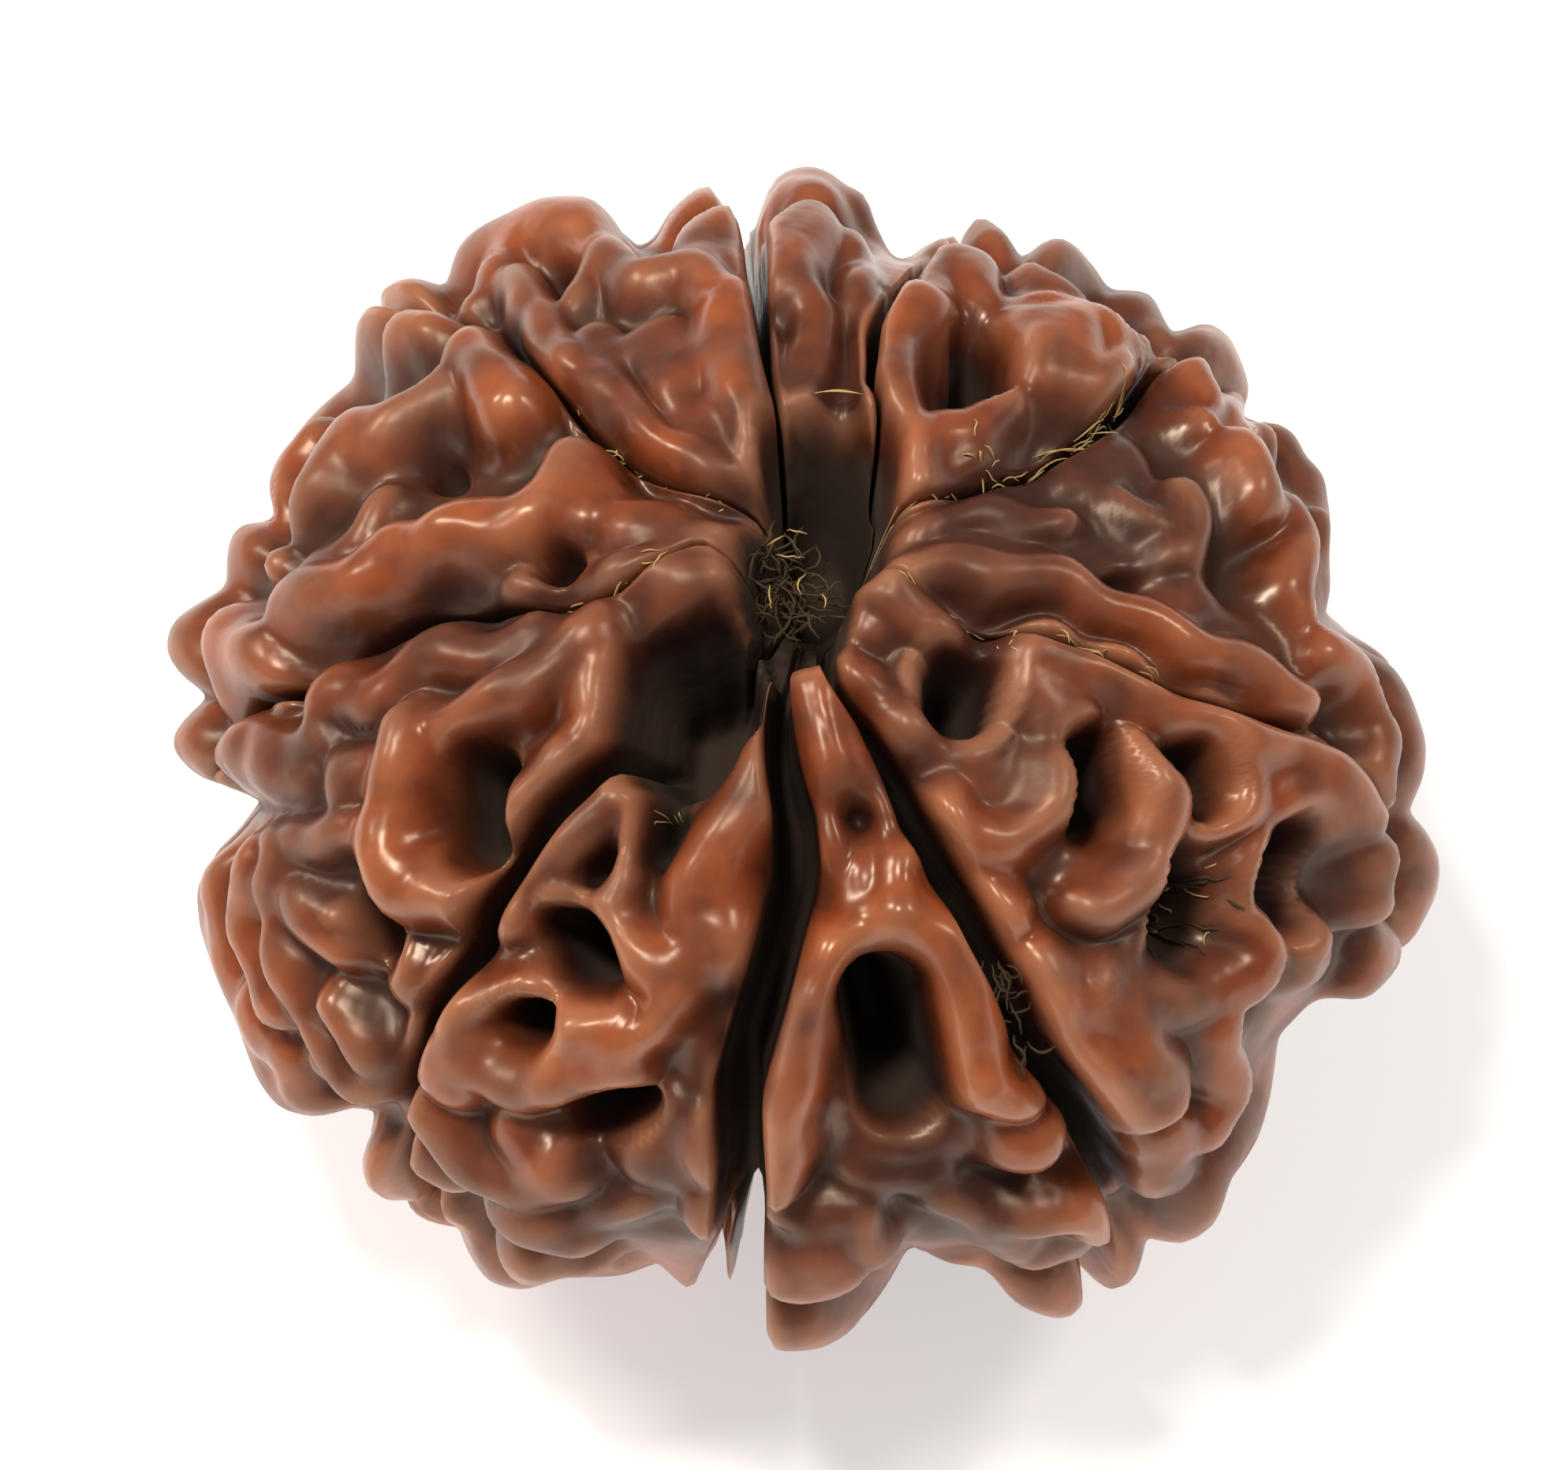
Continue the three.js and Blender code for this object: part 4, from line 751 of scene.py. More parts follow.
# %% [markdown]
# The sculpt starts as a ball with columns and rings, which suits a nut that is built round an axis. Its
# two pole points are deleted, which opens the mouths of the thread hole.

# %% Ball with open poles
COLUMNS = 480
RINGS = 196
POLE_POINT = 0.99999  # only the ball's two pole points are further from its middle plane than this


def edit(work, **settings):
    """Runs one edit-mode operator on what is selected."""
    bpy.ops.object.mode_set(mode="EDIT")
    work(**settings)
    bpy.ops.object.mode_set(mode="OBJECT")


def select_vertices(mesh, wanted):
    """Selects the wanted points and no edge or face."""
    for kind in (mesh.polygons, mesh.edges):
        kind.foreach_set("select", np.zeros(len(kind), bool))
    mesh.vertices.foreach_set("select", wanted)


def coordinates(mesh):
    flat = np.empty(len(mesh.vertices) * 3)
    mesh.vertices.foreach_get("co", flat)
    return flat.reshape(-1, 3)


bpy.context.tool_settings.mesh_select_mode = (True, False, False)
bpy.ops.object.select_all(action="DESELECT")
bpy.ops.mesh.primitive_uv_sphere_add(segments=COLUMNS, ring_count=RINGS, radius=1)
bead = bpy.context.active_object
bead.name = "rudraksha_nut"
select_vertices(bead.data, np.abs(coordinates(bead.data)[:, 2]) > POLE_POINT)
edit(bpy.ops.mesh.delete, type="VERT")
ball = coordinates(bead.data)
print("ball points:", len(ball))

# %% [markdown]
# Each cleft gets nine columns, closest together at its two edges, and the lobes share the rest by
# their width. Near the poles the clefts are pinched, as on the real nut, where the lobes grow together.

# %% Lay columns along the clefts
CLEFT_SHARES = np.array([-0.96, -0.86, -0.66, -0.36, 0, 0.36, 0.66, 0.86, 0.96])  # of its half width
CLEFT_OPENS = np.radians([12, 36])  # angles from a pole between which a cleft opens to its full width
CLEFT_START = 0.3  # share of its width before that
WIDEST_CLEFT_HALF = 0.2  # radians round the bead


def column_plan():
    """For each column: its lobe, its share across the lobe, and its share across the cleft or nan."""
    starts = np.array([course["start"] for course in courses])
    widths = (np.roll(starts, -1) - starts) % FULL_TURN
    free_columns = COLUMNS - len(courses) * len(CLEFT_SHARES)
    ends = np.round(np.cumsum(widths) / FULL_TURN * free_columns).astype(int)
    counts = np.diff(np.concatenate([[0], ends]))
    plan = []
    for lobe, count in enumerate(counts):
        plan += [(lobe, 0, share) for share in CLEFT_SHARES]
        plan += [(lobe, share, np.nan) for share in np.linspace(0, 1, count)]
    return np.array(plan)


def column_azimuths(plan, polar):
    """Azimuth of every column at every ring."""
    across = WAIST_RADIUS * np.sin(polar)
    middles = np.array([np.interp(polar, c["polar"], c["azimuth"]) for c in courses])
    opened = np.interp(np.minimum(polar, np.pi - polar), CLEFT_OPENS, (CLEFT_START, 1))
    halves = np.array([np.minimum(c["half"] * opened / across, WIDEST_CLEFT_HALF) for c in courses])
    following = np.concatenate([middles[1:], middles[:1] + FULL_TURN])
    next_halves = np.concatenate([halves[1:], halves[:1]])
    lobe = plan[:, 0].astype(int)
    from_rim = middles[lobe] + halves[lobe]
    to_rim = following[lobe] - next_halves[lobe]
    in_lobe = from_rim + (to_rim - from_rim) * plan[:, 1:2]
    in_cleft = middles[lobe] + halves[lobe] * np.nan_to_num(plan[:, 2:3])
    return np.where(np.isnan(plan[:, 2:3]), in_lobe, in_cleft)


ring_of = np.rint(np.arccos(np.clip(ball[:, 2], -1, 1)) / np.pi * RINGS).astype(int) - 1
column_of = np.rint(azimuth_of(ball) % FULL_TURN / FULL_TURN * COLUMNS).astype(int) % COLUMNS
mouth_angle = np.arcsin(HOLE_RADIUS / WAIST_RADIUS)
polars = np.linspace(mouth_angle, np.pi - mouth_angle, RINGS - 1)
plan = column_plan()
azimuths = column_azimuths(plan, polars)
skin = skin_points(azimuths[column_of, ring_of], polars[ring_of])
print("columns:", len(plan), "of them in clefts:", int((~np.isnan(plan[:, 2])).sum()))

# %% [markdown]
# Now the points move from the skin to the relief. Across a cleft they follow half an ellipse, so its
# walls are steep and its bottom is round.

# %% Raise the relief and sink the clefts
level = relief(skin)
cleft_share = plan[column_of, 2]
cleft_depth = np.array([course["depth"] for course in courses])[plan[column_of, 0].astype(int)]
false_lobe = [course["name"] for course in courses].index(FALSE_CLEFT)
closed = (plan[column_of, 0] == false_lobe) & (polars[ring_of] > FALSE_CLEFT_END)
cleft_level = np.where(closed, 0, -cleft_depth * np.sqrt(1 - np.nan_to_num(cleft_share, nan=1.0) ** 2))
level = np.where(np.isnan(cleft_share), level, np.minimum(level, cleft_level))
points = skin + outwards_at(skin) * level[:, None]
print("relief from", round(level.min(), 2), "to", round(level.max(), 2), "mm")

# %% [markdown]
# Real ridges are fuller above than at their roots. A relief can't do that, because it has one height
# at each place. So the crests are then fattened along the surface's own direction, which makes them
# lean over their flanks a little. The lowest knobs are worn flat, and the bead is set down on them.

# %% Fatten the crests
FATTEN = 0.12  # millimetres
FATTEN_FROM, FATTEN_TO = -1.3, -0.4  # levels between which it sets in
OUTWARD_CUT = 0.8  # share of its outward part that is taken off, so that crests grow sideways


def set_coordinates(mesh, places):
    mesh.vertices.foreach_set("co", np.ascontiguousarray(places).ravel())
    mesh.update()


def normals(mesh):
    flat = np.empty(len(mesh.vertices) * 3, np.float32)
    mesh.vertex_normals.foreach_get("vector", flat)
    return flat.reshape(-1, 3).astype(float)


set_coordinates(bead.data, points)
rise = np.clip((level - FATTEN_FROM) / (FATTEN_TO - FATTEN_FROM), 0, 1)
eased = rise * rise * (3 - 2 * rise)
points = points + (normals(bead.data) - outwards_at(skin) * OUTWARD_CUT) * (FATTEN * eased)[:, None]
points[:, 2] = np.maximum(points[:, 2], REST_HEIGHT)
box_middle = (points.min(axis=0) + points.max(axis=0)) / 2
bead_middle = np.array([-box_middle[0], -box_middle[1], -REST_HEIGHT])
set_coordinates(bead.data, (points + bead_middle) * MILLIMETRE)
print("bead's middle, millimetres:", np.round(bead_middle, 3))

# %% [markdown]
# The finish needs to know how deep each point lies and whether it is inside a pit. Both are known now
# and can't be read off the mesh later, so they are written on its points as attributes.

# %% Mark depth and hollows
crests = np.minimum(seen_from_eye(skin)[2], 0)  # as high as the outline lets the surface reach
for mark_name, values in (("depth_mm", crests - level), ("hollow", hollowness(skin))):
    bead.data.attributes.new(mark_name, "FLOAT", "POINT").data.foreach_set("value", values)
    print(mark_name, "from", values.min().round(2), "to", values.max().round(2))

# %% [markdown]
# Handling and oil round a nut off. Blender's own smoothing of points does the same to the sculpt.

# %% Smooth
SMOOTHING = 0.5  # of the way to the middle of a point's neighbours
SMOOTHING_ROUNDS = 3
edit(bpy.ops.mesh.select_all, action="SELECT")
edit(bpy.ops.mesh.vertices_smooth, factor=SMOOTHING, repeat=SMOOTHING_ROUNDS)
print("bead after smoothing, millimetres:", np.round(np.ptp(coordinates(bead.data), axis=0) / MILLIMETRE, 2))

# %% [markdown]
# The thread hole is natural: a channel from pole to pole where the fruit's stem went in. The two open
# mouths are the only open edges, so they can be found by that and joined with a bridge of faces.

# %% Thread hole
HOLE_CUTS = 8  # rings of points along its wall
edit(bpy.ops.mesh.select_all, action="DESELECT")
edit(bpy.ops.mesh.select_non_manifold)
edit(bpy.ops.mesh.bridge_edge_loops, number_cuts=HOLE_CUTS)
edit(bpy.ops.mesh.select_all, action="SELECT")
edit(bpy.ops.mesh.normals_make_consistent, inside=False)
edit(bpy.ops.mesh.select_all, action="DESELECT")
bead.select_set(True)
bpy.ops.object.shade_smooth()
print("bead faces:", len(bead.data.polygons))

# %% [markdown]
# A handled nut is palest along its edges, where fingers and cloth rub it, and the finish paints those edges
# paler, partly as wear and partly as painted highlight; where it is hollow the finish paints shade. How far
# each point stands out from its neighbours is measured, to guide the finish: over a few rounds of averaging
# that finds edges, and over many it finds whole lumps and valleys.

# %% Measure the edges
def standing_out(mesh, rounds):
    """How far points stand out from their surroundings, in millimetres, over so many rounds."""
    pairs = np.empty(len(mesh.edges) * 2, np.int32)
    mesh.edges.foreach_get("vertices", pairs)
    one, other = pairs.reshape(-1, 2).T
    places = coordinates(mesh) / MILLIMETRE
    count = np.bincount(one, minlength=len(places)) + np.bincount(other, minlength=len(places))
    averaged = places.copy()
    for _ in range(rounds):
        total = np.stack([np.bincount(one, averaged[other, axis], len(places))
                          + np.bincount(other, averaged[one, axis], len(places)) for axis in range(3)], 1)
        averaged = (averaged + total / count[:, None]) / 2
    return ((places - averaged) * normals(mesh)).sum(axis=1)


EDGE_ROUNDS, LUMP_ROUNDS = 6, 60
for mark_name, rounds in (("edge_mm", EDGE_ROUNDS), ("lump_mm", LUMP_ROUNDS)):
    mark = bead.data.attributes.new(mark_name, "FLOAT", "POINT")
    values = standing_out(bead.data, rounds)
    mark.data.foreach_set("value", values)
    print(mark_name, "mostly from", np.percentile(values, (1, 99)).round(3))

# %% [markdown]
# The finish is made of shader nodes, and a node graph is long to write by hand. A few helpers each add
# one node and give back its output, so the finish itself reads like a recipe.

# %% Node helpers
def put(tree, socket, value):
    """Sets a socket to a number or colour, or links it to another node's output."""
    if isinstance(value, (tuple, float)):
        socket.default_value = value
    else:
        tree.links.new(value, socket)


def attribute(tree, name):
    """A number that was written on the mesh's points."""
    node = tree.nodes.new("ShaderNodeAttribute")
    node.attribute_name = name
    return node.outputs["Fac"]


def spread(tree, value, low, high, to_low=0.0, to_high=1.0):
    """Stretches what is between low and high, and cuts off the rest."""
    node = tree.nodes.new("ShaderNodeMapRange")
    for name, limit in (("From Min", low), ("From Max", high), ("To Min", to_low), ("To Max", to_high)):
        node.inputs[name].default_value = limit
    put(tree, node.inputs["Value"], value)
    return node.outputs["Result"]


def mixed(tree, share, first, second, blend="MIX"):
    node = tree.nodes.new("ShaderNodeMix")
    node.data_type = "RGBA"
    node.blend_type = blend
    for name, value in (("Factor", share), ("A", first), ("B", second)):
        put(tree, node.inputs[name], value)
    return node.outputs["Result"]


def calculated(tree, operation, first, second):
    node = tree.nodes.new("ShaderNodeMath")
    node.operation = operation
    for socket, value in zip(node.inputs, (first, second)):
        put(tree, socket, value)
    return node.outputs["Value"]


def noise(tree, scale, detail):
    """Cloudy noise that sits still on the bead, because it reads the bead's own coordinates."""
    node = tree.nodes.new("ShaderNodeTexNoise")
    node.inputs["Scale"].default_value = scale
    node.inputs["Detail"].default_value = detail
    where = tree.nodes.new("ShaderNodeTexCoord").outputs["Object"]
    put(tree, node.inputs["Vector"], where)
    return node.outputs["Fac"]


def colors_by(tree, value, stops):
    """Colours by a value, from (value, colour) stops that the ramp runs between."""
    ramp = tree.nodes.new("ShaderNodeValToRGB")
    elements = ramp.color_ramp.elements
    elements[0].position, elements[1].position = stops[0][0], stops[-1][0]
    elements[0].color, elements[1].color = stops[0][1], stops[-1][1]
    for place, color in stops[1:-1]:
        elements.new(place).color = color
    put(tree, ramp.inputs["Fac"], value)
    return ramp.outputs["Color"]


def new_finish(name):
    """A material, its node tree and its shader."""
    made = bpy.data.materials.new(name)
    made.use_nodes = True
    return made, made.node_tree, made.node_tree.nodes["Principled BSDF"]


nut_finish, nut_tree, nut_shader = new_finish("polished_nut")
print("finish to fill in:", nut_finish.name)

# %% [markdown]
# An old nut is red-brown where it is handled, with mauve patches. The valleys are darkened with painted
# shade, and the insides of pits and clefts are painted nearly black as shade. One colour with noise would
# look like plastic, so the colour follows depth first, darkening with depth as painted shade, and noise only
# breaks it up.

# %% Colour of the nut
DEEPEST_SHADE_MM = 4.0  # millimetres below the crests at which the ramp of painted shade ends
NUT_COLORS_AND_DEPTH_SHADE = (
    (0.0, (0.34, 0.083, 0.025, 1)), (0.1, (0.25, 0.052, 0.015, 1)), (0.2, (0.15, 0.035, 0.012, 1)),
    (0.34, (0.080, 0.023, 0.012, 1)), (0.55, (0.038, 0.020, 0.014, 1)),
    (1.0, (0.022, 0.015, 0.011, 1)))
PATCH_SCALE = 320.0  # patches a few millimetres wide
PATCH_NOISE = (0.40, 0.60)  # noise between which a patch sets in
PATCH_TINT = (0.52, 0.69, 1.20, 1)  # towards mauve
STREAK_SCALE = 1300.0  # and streaks under a millimetre
STREAK_NOISE = (0.40, 0.80)
STREAK_TINT = (0.60, 0.55, 0.55, 1)
NOISE_DETAIL = 3.0
VALLEY_SHADE_MM = (-0.04, -0.30)  # this far behind its surroundings the painted valley shade starts and is full
VALLEY_SHADE_COLOR = (0.040, 0.014, 0.008, 1)
WEAR_AND_HIGHLIGHT_EDGES_MM = (0.03, 0.14)  # this far proud of them an edge starts to be painted paler, as wear and painted highlight, and is fully so
WEAR_AND_HIGHLIGHT_EDGES_COLOR = (0.48, 0.208, 0.11, 1)
WEAR_AND_HIGHLIGHT_EDGES_SPREAD = 2.2  # full wear and painted highlight leave 1 / this number of this colour on the nut
CLEFT_SHADE_MM = (1.5, 2.5)  # depths between which a cleft is painted dark, as painted shade
PAINTED_SHADE_COLOR = (0.060, 0.042, 0.032, 1)

# Painted shade: the colour runs from the nut's own red-brown at the crests to near black with depth.
depth = spread(nut_tree, attribute(nut_tree, "depth_mm"), 0.0, DEEPEST_SHADE_MM)
color = colors_by(nut_tree, depth, NUT_COLORS_AND_DEPTH_SHADE)
patches = spread(nut_tree, noise(nut_tree, PATCH_SCALE, NOISE_DETAIL), *PATCH_NOISE)
color = mixed(nut_tree, patches, color, PATCH_TINT, "MULTIPLY")
streaks = spread(nut_tree, noise(nut_tree, STREAK_SCALE, NOISE_DETAIL), *STREAK_NOISE)
color = mixed(nut_tree, streaks, color, STREAK_TINT, "MULTIPLY")
# Painted shade: points that lie behind their surroundings are darkened.
valley = spread(nut_tree, attribute(nut_tree, "lump_mm"), *VALLEY_SHADE_MM)
color = mixed(nut_tree, valley, color, VALLEY_SHADE_COLOR)
# Paler edges: partly the nut's own wear, partly a painted highlight.
edge = spread(nut_tree, attribute(nut_tree, "edge_mm"), *WEAR_AND_HIGHLIGHT_EDGES_MM)
color = mixed(nut_tree, spread(nut_tree, edge, 0.0, WEAR_AND_HIGHLIGHT_EDGES_SPREAD), color, WEAR_AND_HIGHLIGHT_EDGES_COLOR)
# Painted shade: the insides of pits, hollows and deep clefts are painted nearly black.
in_cleft = spread(nut_tree, attribute(nut_tree, "depth_mm"), *CLEFT_SHADE_MM)
dark = calculated(nut_tree, "MAXIMUM", attribute(nut_tree, "hollow"), in_cleft)
color = mixed(nut_tree, dark, color, PAINTED_SHADE_COLOR)
put(nut_tree, nut_shader.inputs["Base Color"], color)
print("colour nodes:", len(nut_tree.nodes))

# %% [markdown]
# Oil and touch polish only what sticks out. So the gloss falls off a little in the mauve patches, more
# in the valleys, and is gone inside the pits. A fine bump keeps the highlights from being too clean.

# %% Gloss of the nut
ROUGHNESS = (0.27, 0.9)  # polished, dry
SPECULAR = (0.62, 0.06)
PATCH_DULLNESS = 0.22
VALLEY_DULLNESS = 0.4
GLOSS_TINT = (1, 0.84, 0.68, 1)  # of oil
BUMP_SCALE = 900.0
BUMP_DETAIL = 2.0
BUMP_STRENGTH = 0.5
BUMP_HEIGHT = 0.00014  # metres

dull = calculated(nut_tree, "MAXIMUM", calculated(nut_tree, "MULTIPLY", patches, PATCH_DULLNESS),
                  calculated(nut_tree, "MULTIPLY", valley, VALLEY_DULLNESS))
dull = calculated(nut_tree, "MAXIMUM", dull, dark)
put(nut_tree, nut_shader.inputs["Roughness"], spread(nut_tree, dull, 0.0, 1.0, *ROUGHNESS))
put(nut_tree, nut_shader.inputs["Specular IOR Level"], spread(nut_tree, dull, 0.0, 1.0, *SPECULAR))
put(nut_tree, nut_shader.inputs["Specular Tint"], GLOSS_TINT)
bump = nut_tree.nodes.new("ShaderNodeBump")
bump.inputs["Strength"].default_value = BUMP_STRENGTH
bump.inputs["Distance"].default_value = BUMP_HEIGHT
put(nut_tree, bump.inputs["Height"], noise(nut_tree, BUMP_SCALE, BUMP_DETAIL))
put(nut_tree, nut_shader.inputs["Normal"], bump.outputs["Normal"])

bead.data.materials.append(nut_finish)
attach(bead, "root")
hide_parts("rudraksha_bead")
print("finish nodes:", len(nut_tree.nodes))

# %% [markdown]
# Fibres of the dried fruit stay caught in the clefts and pits after cleaning. Hair particles would be
# the usual way, but they don't leave Blender with the model. Here each fibre is a thin thread: a short
# random walk over the surface, drawn as a curve with a round section and turned into mesh.

# %% Fibre beds
# A bed: number of fibres; how far they scatter to each side of its line; lowest and highest lift; True
# if that is from the surface, False if from the skin; least and greatest length; how far they turn out
# of the line's direction, radians; and the line's pixels. Lengths are millimetres.
GOLD_BEDS = [
    [46, 0.08, (-0.45, 0.0), True, (0.3, 0.8), 0.4,
     [[1112, 612], [1200, 595], [1290, 560], [1330, 545], [1400, 510], [1450, 470]]],
    [4, 0.03, (0.02, 0.06), True, (0.6, 1.1), 0.1, [[1325, 528], [1370, 513], [1425, 500]]],
    [34, 0.10, (-0.40, 0.0), True, (0.3, 0.8), 0.5,
     [[930, 600], [860, 585], [800, 556], [750, 515], [700, 465]]],
    [16, 0.08, (-0.40, 0.0), True, (0.3, 0.7), 0.5, [[880, 676], [760, 738], [690, 745], [600, 742]]],
    [18, 0.08, (-0.40, 0.0), True, (0.3, 0.7), 0.4,
     [[1120, 700], [1220, 770], [1300, 785], [1400, 812], [1460, 842]]],
    [5, 0.12, (0.0, 0.04), True, (0.15, 0.4), 1.5, [[815, 1005], [828, 1025]]],
    [5, 0.12, (0.0, 0.04), True, (0.15, 0.4), 1.5, [[1275, 792], [1290, 808]]],
    [7, 0.25, (0.0, 0.04), True, (0.15, 0.5), 1.5, [[1290, 548], [1245, 562]]],
    [8, 0.50, (0.0, 0.08), True, (0.2, 0.5), 1.5, [[1540, 1080], [1560, 1200]]],
    [6, 0.40, (-1.9, -1.5), False, (0.3, 0.8), 1.5, [[1005, 600], [995, 740]]],
    [2, 0.02, (-0.75, -0.7), False, (0.9, 1.0), 0.05, [[1028, 463], [1034, 463]]],
]
OLIVE_BEDS = [
    [80, 0.38, (-2.9, -2.0), False, (0.4, 1.1), 1.2, [[990, 630], [995, 660], [1005, 720]]],
    [16, 0.15, (-2.2, -1.6), False, (0.4, 0.8), 0.8, [[968, 590], [970, 640]]],
    [26, 0.45, (-0.02, 0.10), True, (0.3, 0.8), 1.5, [[1530, 1085], [1560, 1200]]],
    [22, 0.15, (-0.9, -0.3), False, (0.4, 1.0), 0.8, [[1265, 1215], [1290, 1290], [1310, 1345]]],
]
print("fibres:", sum(bed[0] for bed in GOLD_BEDS), "golden,", sum(bed[0] for bed in OLIVE_BEDS), "olive")

# %% [markdown]
# A fibre starts somewhere along its bed's line and walks on in small steps, each turned a little from
# the last, which gives the curl of something that dried in place.

# %% Walk the fibres
FIBRE_POINTS = 9
FIBRE_TURN = 0.35  # bend between two points of a fibre that crosses its bed, radians
STRAIGHT_TURN_SHARE = 0.1  # share of that in one that lies straight along it


def on_skin(points):
    """Points moved straight towards the middle or away from it until they are on the skin."""
    scaled = points / SKIN
    return scaled / np.linalg.norm(scaled, axis=-1, keepdims=True) * SKIN


def bed_fibres(draw, count, scatter, lift, on_surface, length, crossing, pixels):
    """Points of a bed's fibres on the skin, each fibre's lift, and whether that is off the surface."""
    turn = FIBRE_TURN * min(1, STRAIGHT_TURN_SHARE + crossing)
    line = pixels_to_skin(pixels)
    legs = np.linalg.norm(np.diff(line, axis=0), axis=1)
    leg = draw.choice(len(legs), count, p=legs / legs.sum())
    along = (line[leg + 1] - line[leg]) / legs[leg, None]
    place = line[leg] + along * (draw.random(count) * legs[leg])[:, None]
    aside = np.cross(outwards_at(place), along)
    place = place + aside * draw.normal(0, scatter, count)[:, None]
    heading = draw.normal(0, crossing, count)
    step = draw.uniform(*length, count) / (FIBRE_POINTS - 1)
    walk = [place]
    for _ in range(FIBRE_POINTS - 1):
        heading = heading + draw.normal(0, turn, count)
        forward = along * np.cos(heading)[:, None] + aside * np.sin(heading)[:, None]
        walk.append(walk[-1] + forward * step[:, None])
    return on_skin(np.stack(walk, axis=1)), draw.uniform(*lift, count), np.full(count, on_surface)


# %% [markdown]
# The walks become mesh here, as golden threads 0.04 mm thick and olive ones of 0.06 mm. A curve with a
# round section is the quickest way to a thread. Its ends taper, because a torn fibre has no cut end.

# %% Draw the fibres
FIBRE_SEED = 11
FIBRE_ARCH = 0.06  # the middle of a fibre stands this much off its ends, millimetres
FIBRE_TAPER = 0.35  # start of its section's swelling and thinning, on a half turn of radians
FIBRE_ROUGHNESS = 0.7
FIBRE_SPECULAR = 0.2


def fibre_places(draw, beds):
    """Points of all fibres of some beds, millimetres from the bead's own middle."""
    made = [bed_fibres(draw, *bed) for bed in beds]
    walks, lifts, on_surface = (np.concatenate(parts) for parts in zip(*made))
    flat = walks.reshape(-1, 3)
    arch = FIBRE_ARCH * np.sin(np.linspace(0, np.pi, FIBRE_POINTS))
    surface = np.where(on_surface[:, None], relief(flat).reshape(len(walks), -1), 0)
    heights = surface + lifts[:, None] + arch
    return walks + outwards_at(flat).reshape(walks.shape) * heights[..., None]


def add_fibres(name, beds, radius, color, seed):
    """One piece with every fibre of some beds."""
    places = fibre_places(np.random.default_rng(seed), beds)
    swelling = np.sin(np.linspace(FIBRE_TAPER, np.pi - FIBRE_TAPER, FIBRE_POINTS))
    bpy.ops.object.select_all(action="DESELECT")
    bpy.ops.curve.primitive_nurbs_path_add(location=(0, 0, 0))
    threads = bpy.context.active_object
    threads.name = name
    threads.data.splines.clear()
    threads.data.bevel_depth = radius * MILLIMETRE
    threads.data.bevel_resolution = 0
    for fibre in places:
        thread = threads.data.splines.new("POLY")
        thread.points.add(FIBRE_POINTS - 1)
        rows = np.hstack([(fibre + bead_middle) * MILLIMETRE, np.ones((FIBRE_POINTS, 1))])
        thread.points.foreach_set("co", rows.ravel())
        thread.points.foreach_set("radius", swelling)
    bpy.ops.object.convert(target="MESH")
    threads = bpy.context.active_object
    dried, _, shader = new_finish(name)
    shader.inputs["Base Color"].default_value = color
    shader.inputs["Roughness"].default_value = FIBRE_ROUGHNESS
    shader.inputs["Specular IOR Level"].default_value = FIBRE_SPECULAR
    threads.data.materials.clear()
    threads.data.materials.append(dried)
    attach(threads, "root")
    print(name, "fibres:", len(places), "faces:", len(threads.data.polygons))


add_fibres("pulp_gold", GOLD_BEDS, 0.020, (0.55, 0.38, 0.15, 1), FIBRE_SEED)
add_fibres("pulp_olive", OLIVE_BEDS, 0.032, (0.070, 0.044, 0.022, 1), FIBRE_SEED + 1)

# %% [markdown]
# The bead lies on a plain pale floor. The photograph's ground is nearly white, so the floor gives off a
# little light of its own. That also lights the bead softly from below, as a light table would.

# %% Floor
FLOOR_SIZE = 1.2
FLOOR_GAP = 0.0001  # keeps it from sharing a plane with the worn knobs
FLOOR_COLOR = (0.9, 0.9, 0.9, 1)
FLOOR_ROUGHNESS = 0.9
FLOOR_GLOW = 0.5
bpy.ops.mesh.primitive_plane_add(size=FLOOR_SIZE, location=(0, 0, -FLOOR_GAP))
floor_plane = bpy.context.active_object
floor_plane.name = "floor"
pale, _, pale_shader = new_finish("pale_floor")
pale_shader.inputs["Base Color"].default_value = FLOOR_COLOR
pale_shader.inputs["Roughness"].default_value = FLOOR_ROUGHNESS
pale_shader.inputs["Emission Color"].default_value = (1, 1, 1, 1)
pale_shader.inputs["Emission Strength"].default_value = FLOOR_GLOW
floor_plane.data.materials.append(pale)
print("floor, metres:", tuple(floor_plane.dimensions))

# %% [markdown]
# Three small soft lamps stand where the photograph's highlights ask for them: the strongest above, one
# to the left and a weak one to the right. Small lamps make small bright highlights, which is what tells
# the eye that the nut is oiled. An even white room fills the shadows.

# %% Light
LAMP_COLOR = (1, 0.93, 0.84)
LAMP_TARGET = (0, 0, 0.009)  # about the bead's middle, metres
ROOM_LIGHT = 0.28


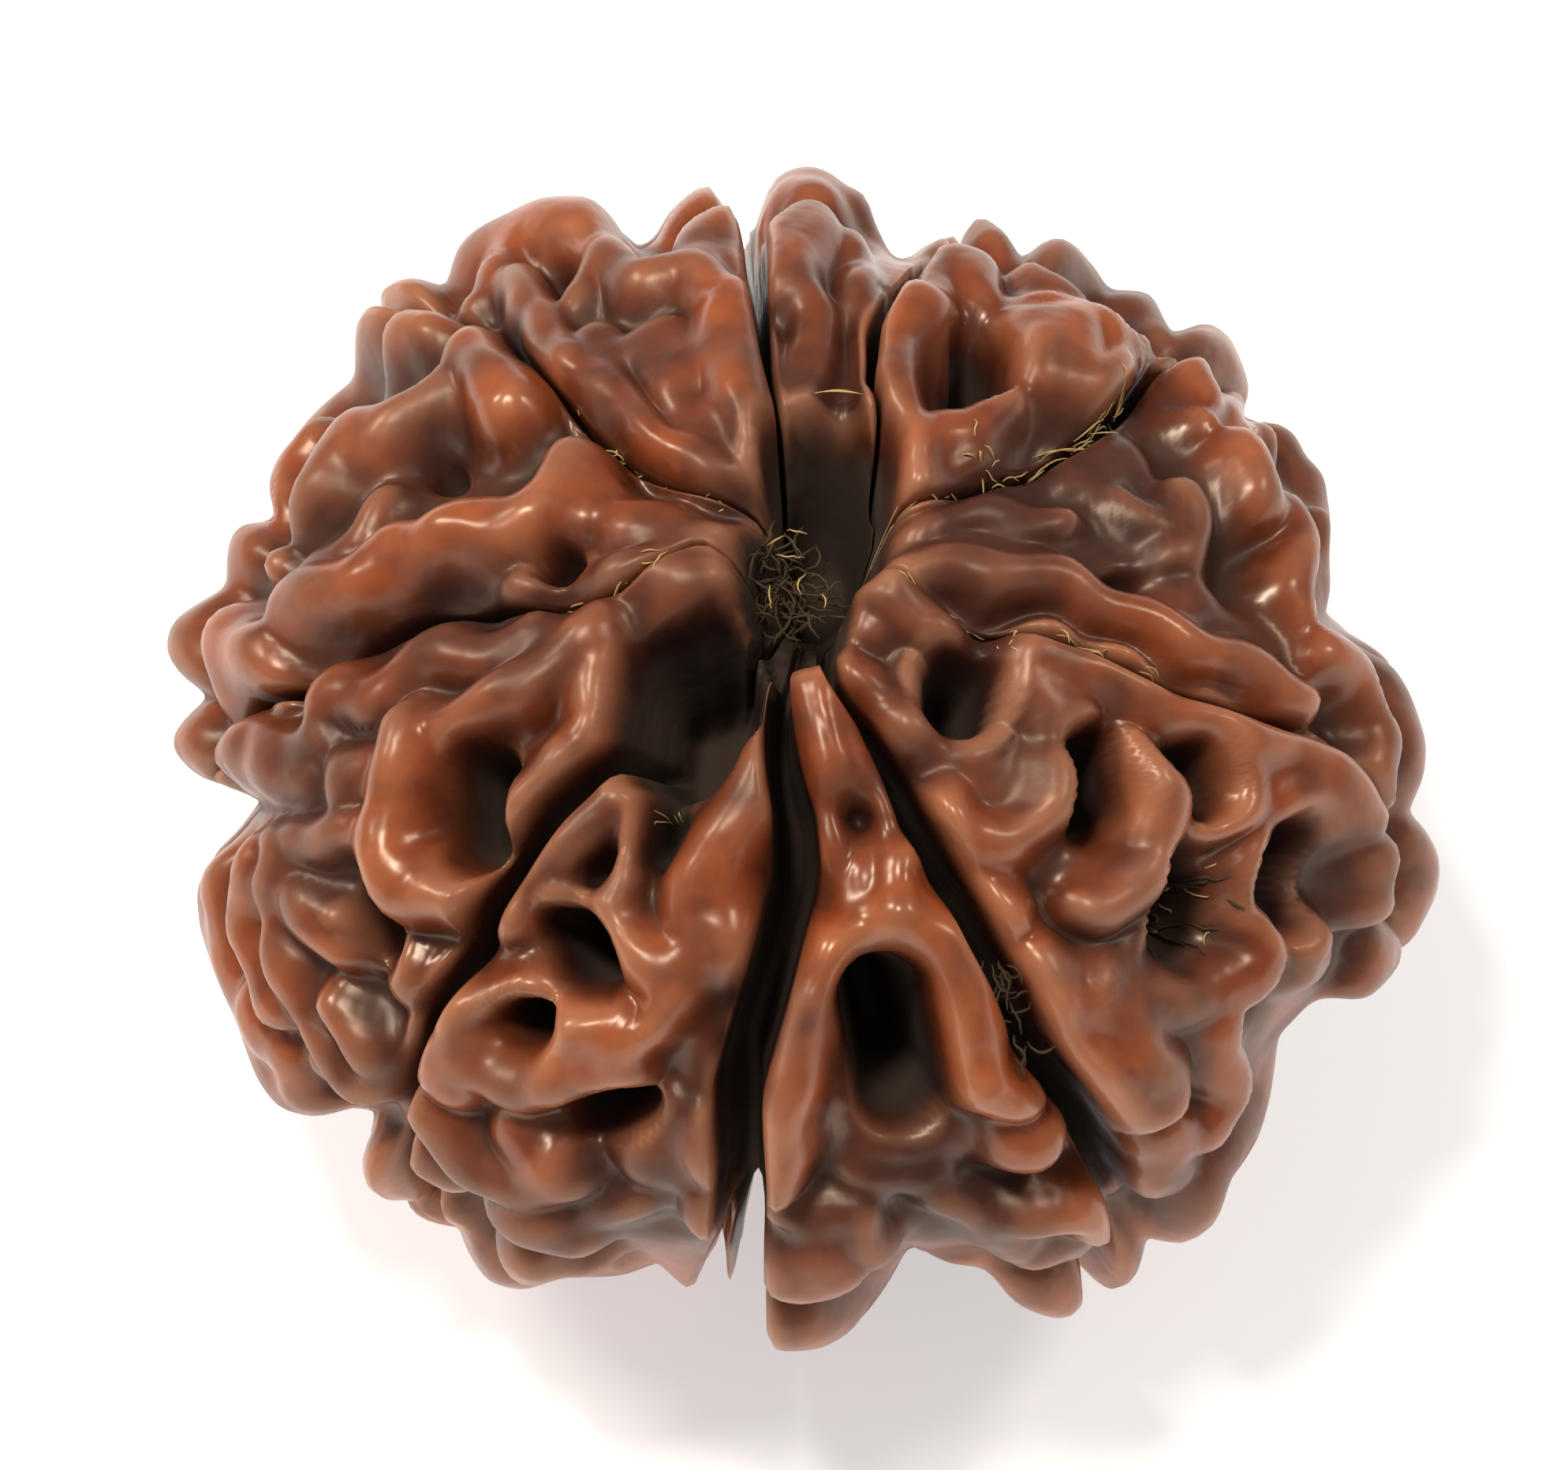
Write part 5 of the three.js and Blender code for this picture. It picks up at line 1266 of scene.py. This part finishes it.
def soft_light(name, place, size, power):
    """A square lamp that faces the bead."""
    bpy.ops.object.light_add(type="AREA", location=place)
    lamp = bpy.context.active_object
    lamp.name = name
    lamp.data.size = size
    lamp.data.energy = power
    lamp.data.color = LAMP_COLOR
    towards_bead = Vector(LAMP_TARGET) - Vector(place)
    lamp.rotation_euler = towards_bead.to_track_quat("-Z", "Y").to_euler()
    print(name, "lamp,", round(towards_bead.length, 3), "metres away")


soft_light("key", (-0.06, -0.03, 0.30), 0.05, 0.52)
soft_light("left", (-0.18, 0.05, 0.20), 0.05, 0.30)
soft_light("right", (0.15, 0.02, 0.20), 0.04, 0.14)
world = bpy.data.worlds.new("room")
bpy.context.scene.world = world
world.use_nodes = True
world.node_tree.nodes["Background"].inputs["Color"].default_value = (1, 1, 1, 1)
world.node_tree.nodes["Background"].inputs["Strength"].default_value = ROOM_LIGHT
bpy.context.scene.view_settings.view_transform = "Standard"

# %% [markdown]
# The camera stands where the traced pixels were cast from, so each line comes out where it was traced.
# Its lens is chosen so that the photograph's width fits at the bead's distance, and it aims past the
# bead's middle by as much as the bead is off the photograph's middle.

# %% Camera
SENSOR = 36.0  # millimetres
NEAREST_SEEN = 0.01  # metres
camera_data = bpy.data.cameras.new("photo_eye")
camera = bpy.data.objects.new("photo_eye", camera_data)
bpy.context.scene.collection.objects.link(camera)
camera_data.sensor_fit = "HORIZONTAL"
camera_data.sensor_width = SENSOR
camera_data.lens = SENSOR * VIEW_DISTANCE / (PHOTO_SIZE[0] / PIXELS_PER_MM)
camera_data.clip_start = NEAREST_SEEN
aside, down = (np.array(PHOTO_SIZE) / 2 - MIDDLE_PIXEL) / PIXELS_PER_MM
aim = bead_middle + np.array([aside, 0, 0]) - picture_up * down
sight = np.eye(4)  # its columns are the camera's right, up and back, and its place
sight[:3, 0] = (1, 0, 0)
sight[:3, 1] = picture_up
sight[:3, 2] = towards_eye
sight[:3, 3] = (aim + towards_eye * VIEW_DISTANCE) * MILLIMETRE
camera.matrix_world = Matrix(sight.tolist())
bpy.context.scene.camera = camera
print("lens, millimetres:", round(camera_data.lens, 1), "at", sight[:3, 3].round(3))
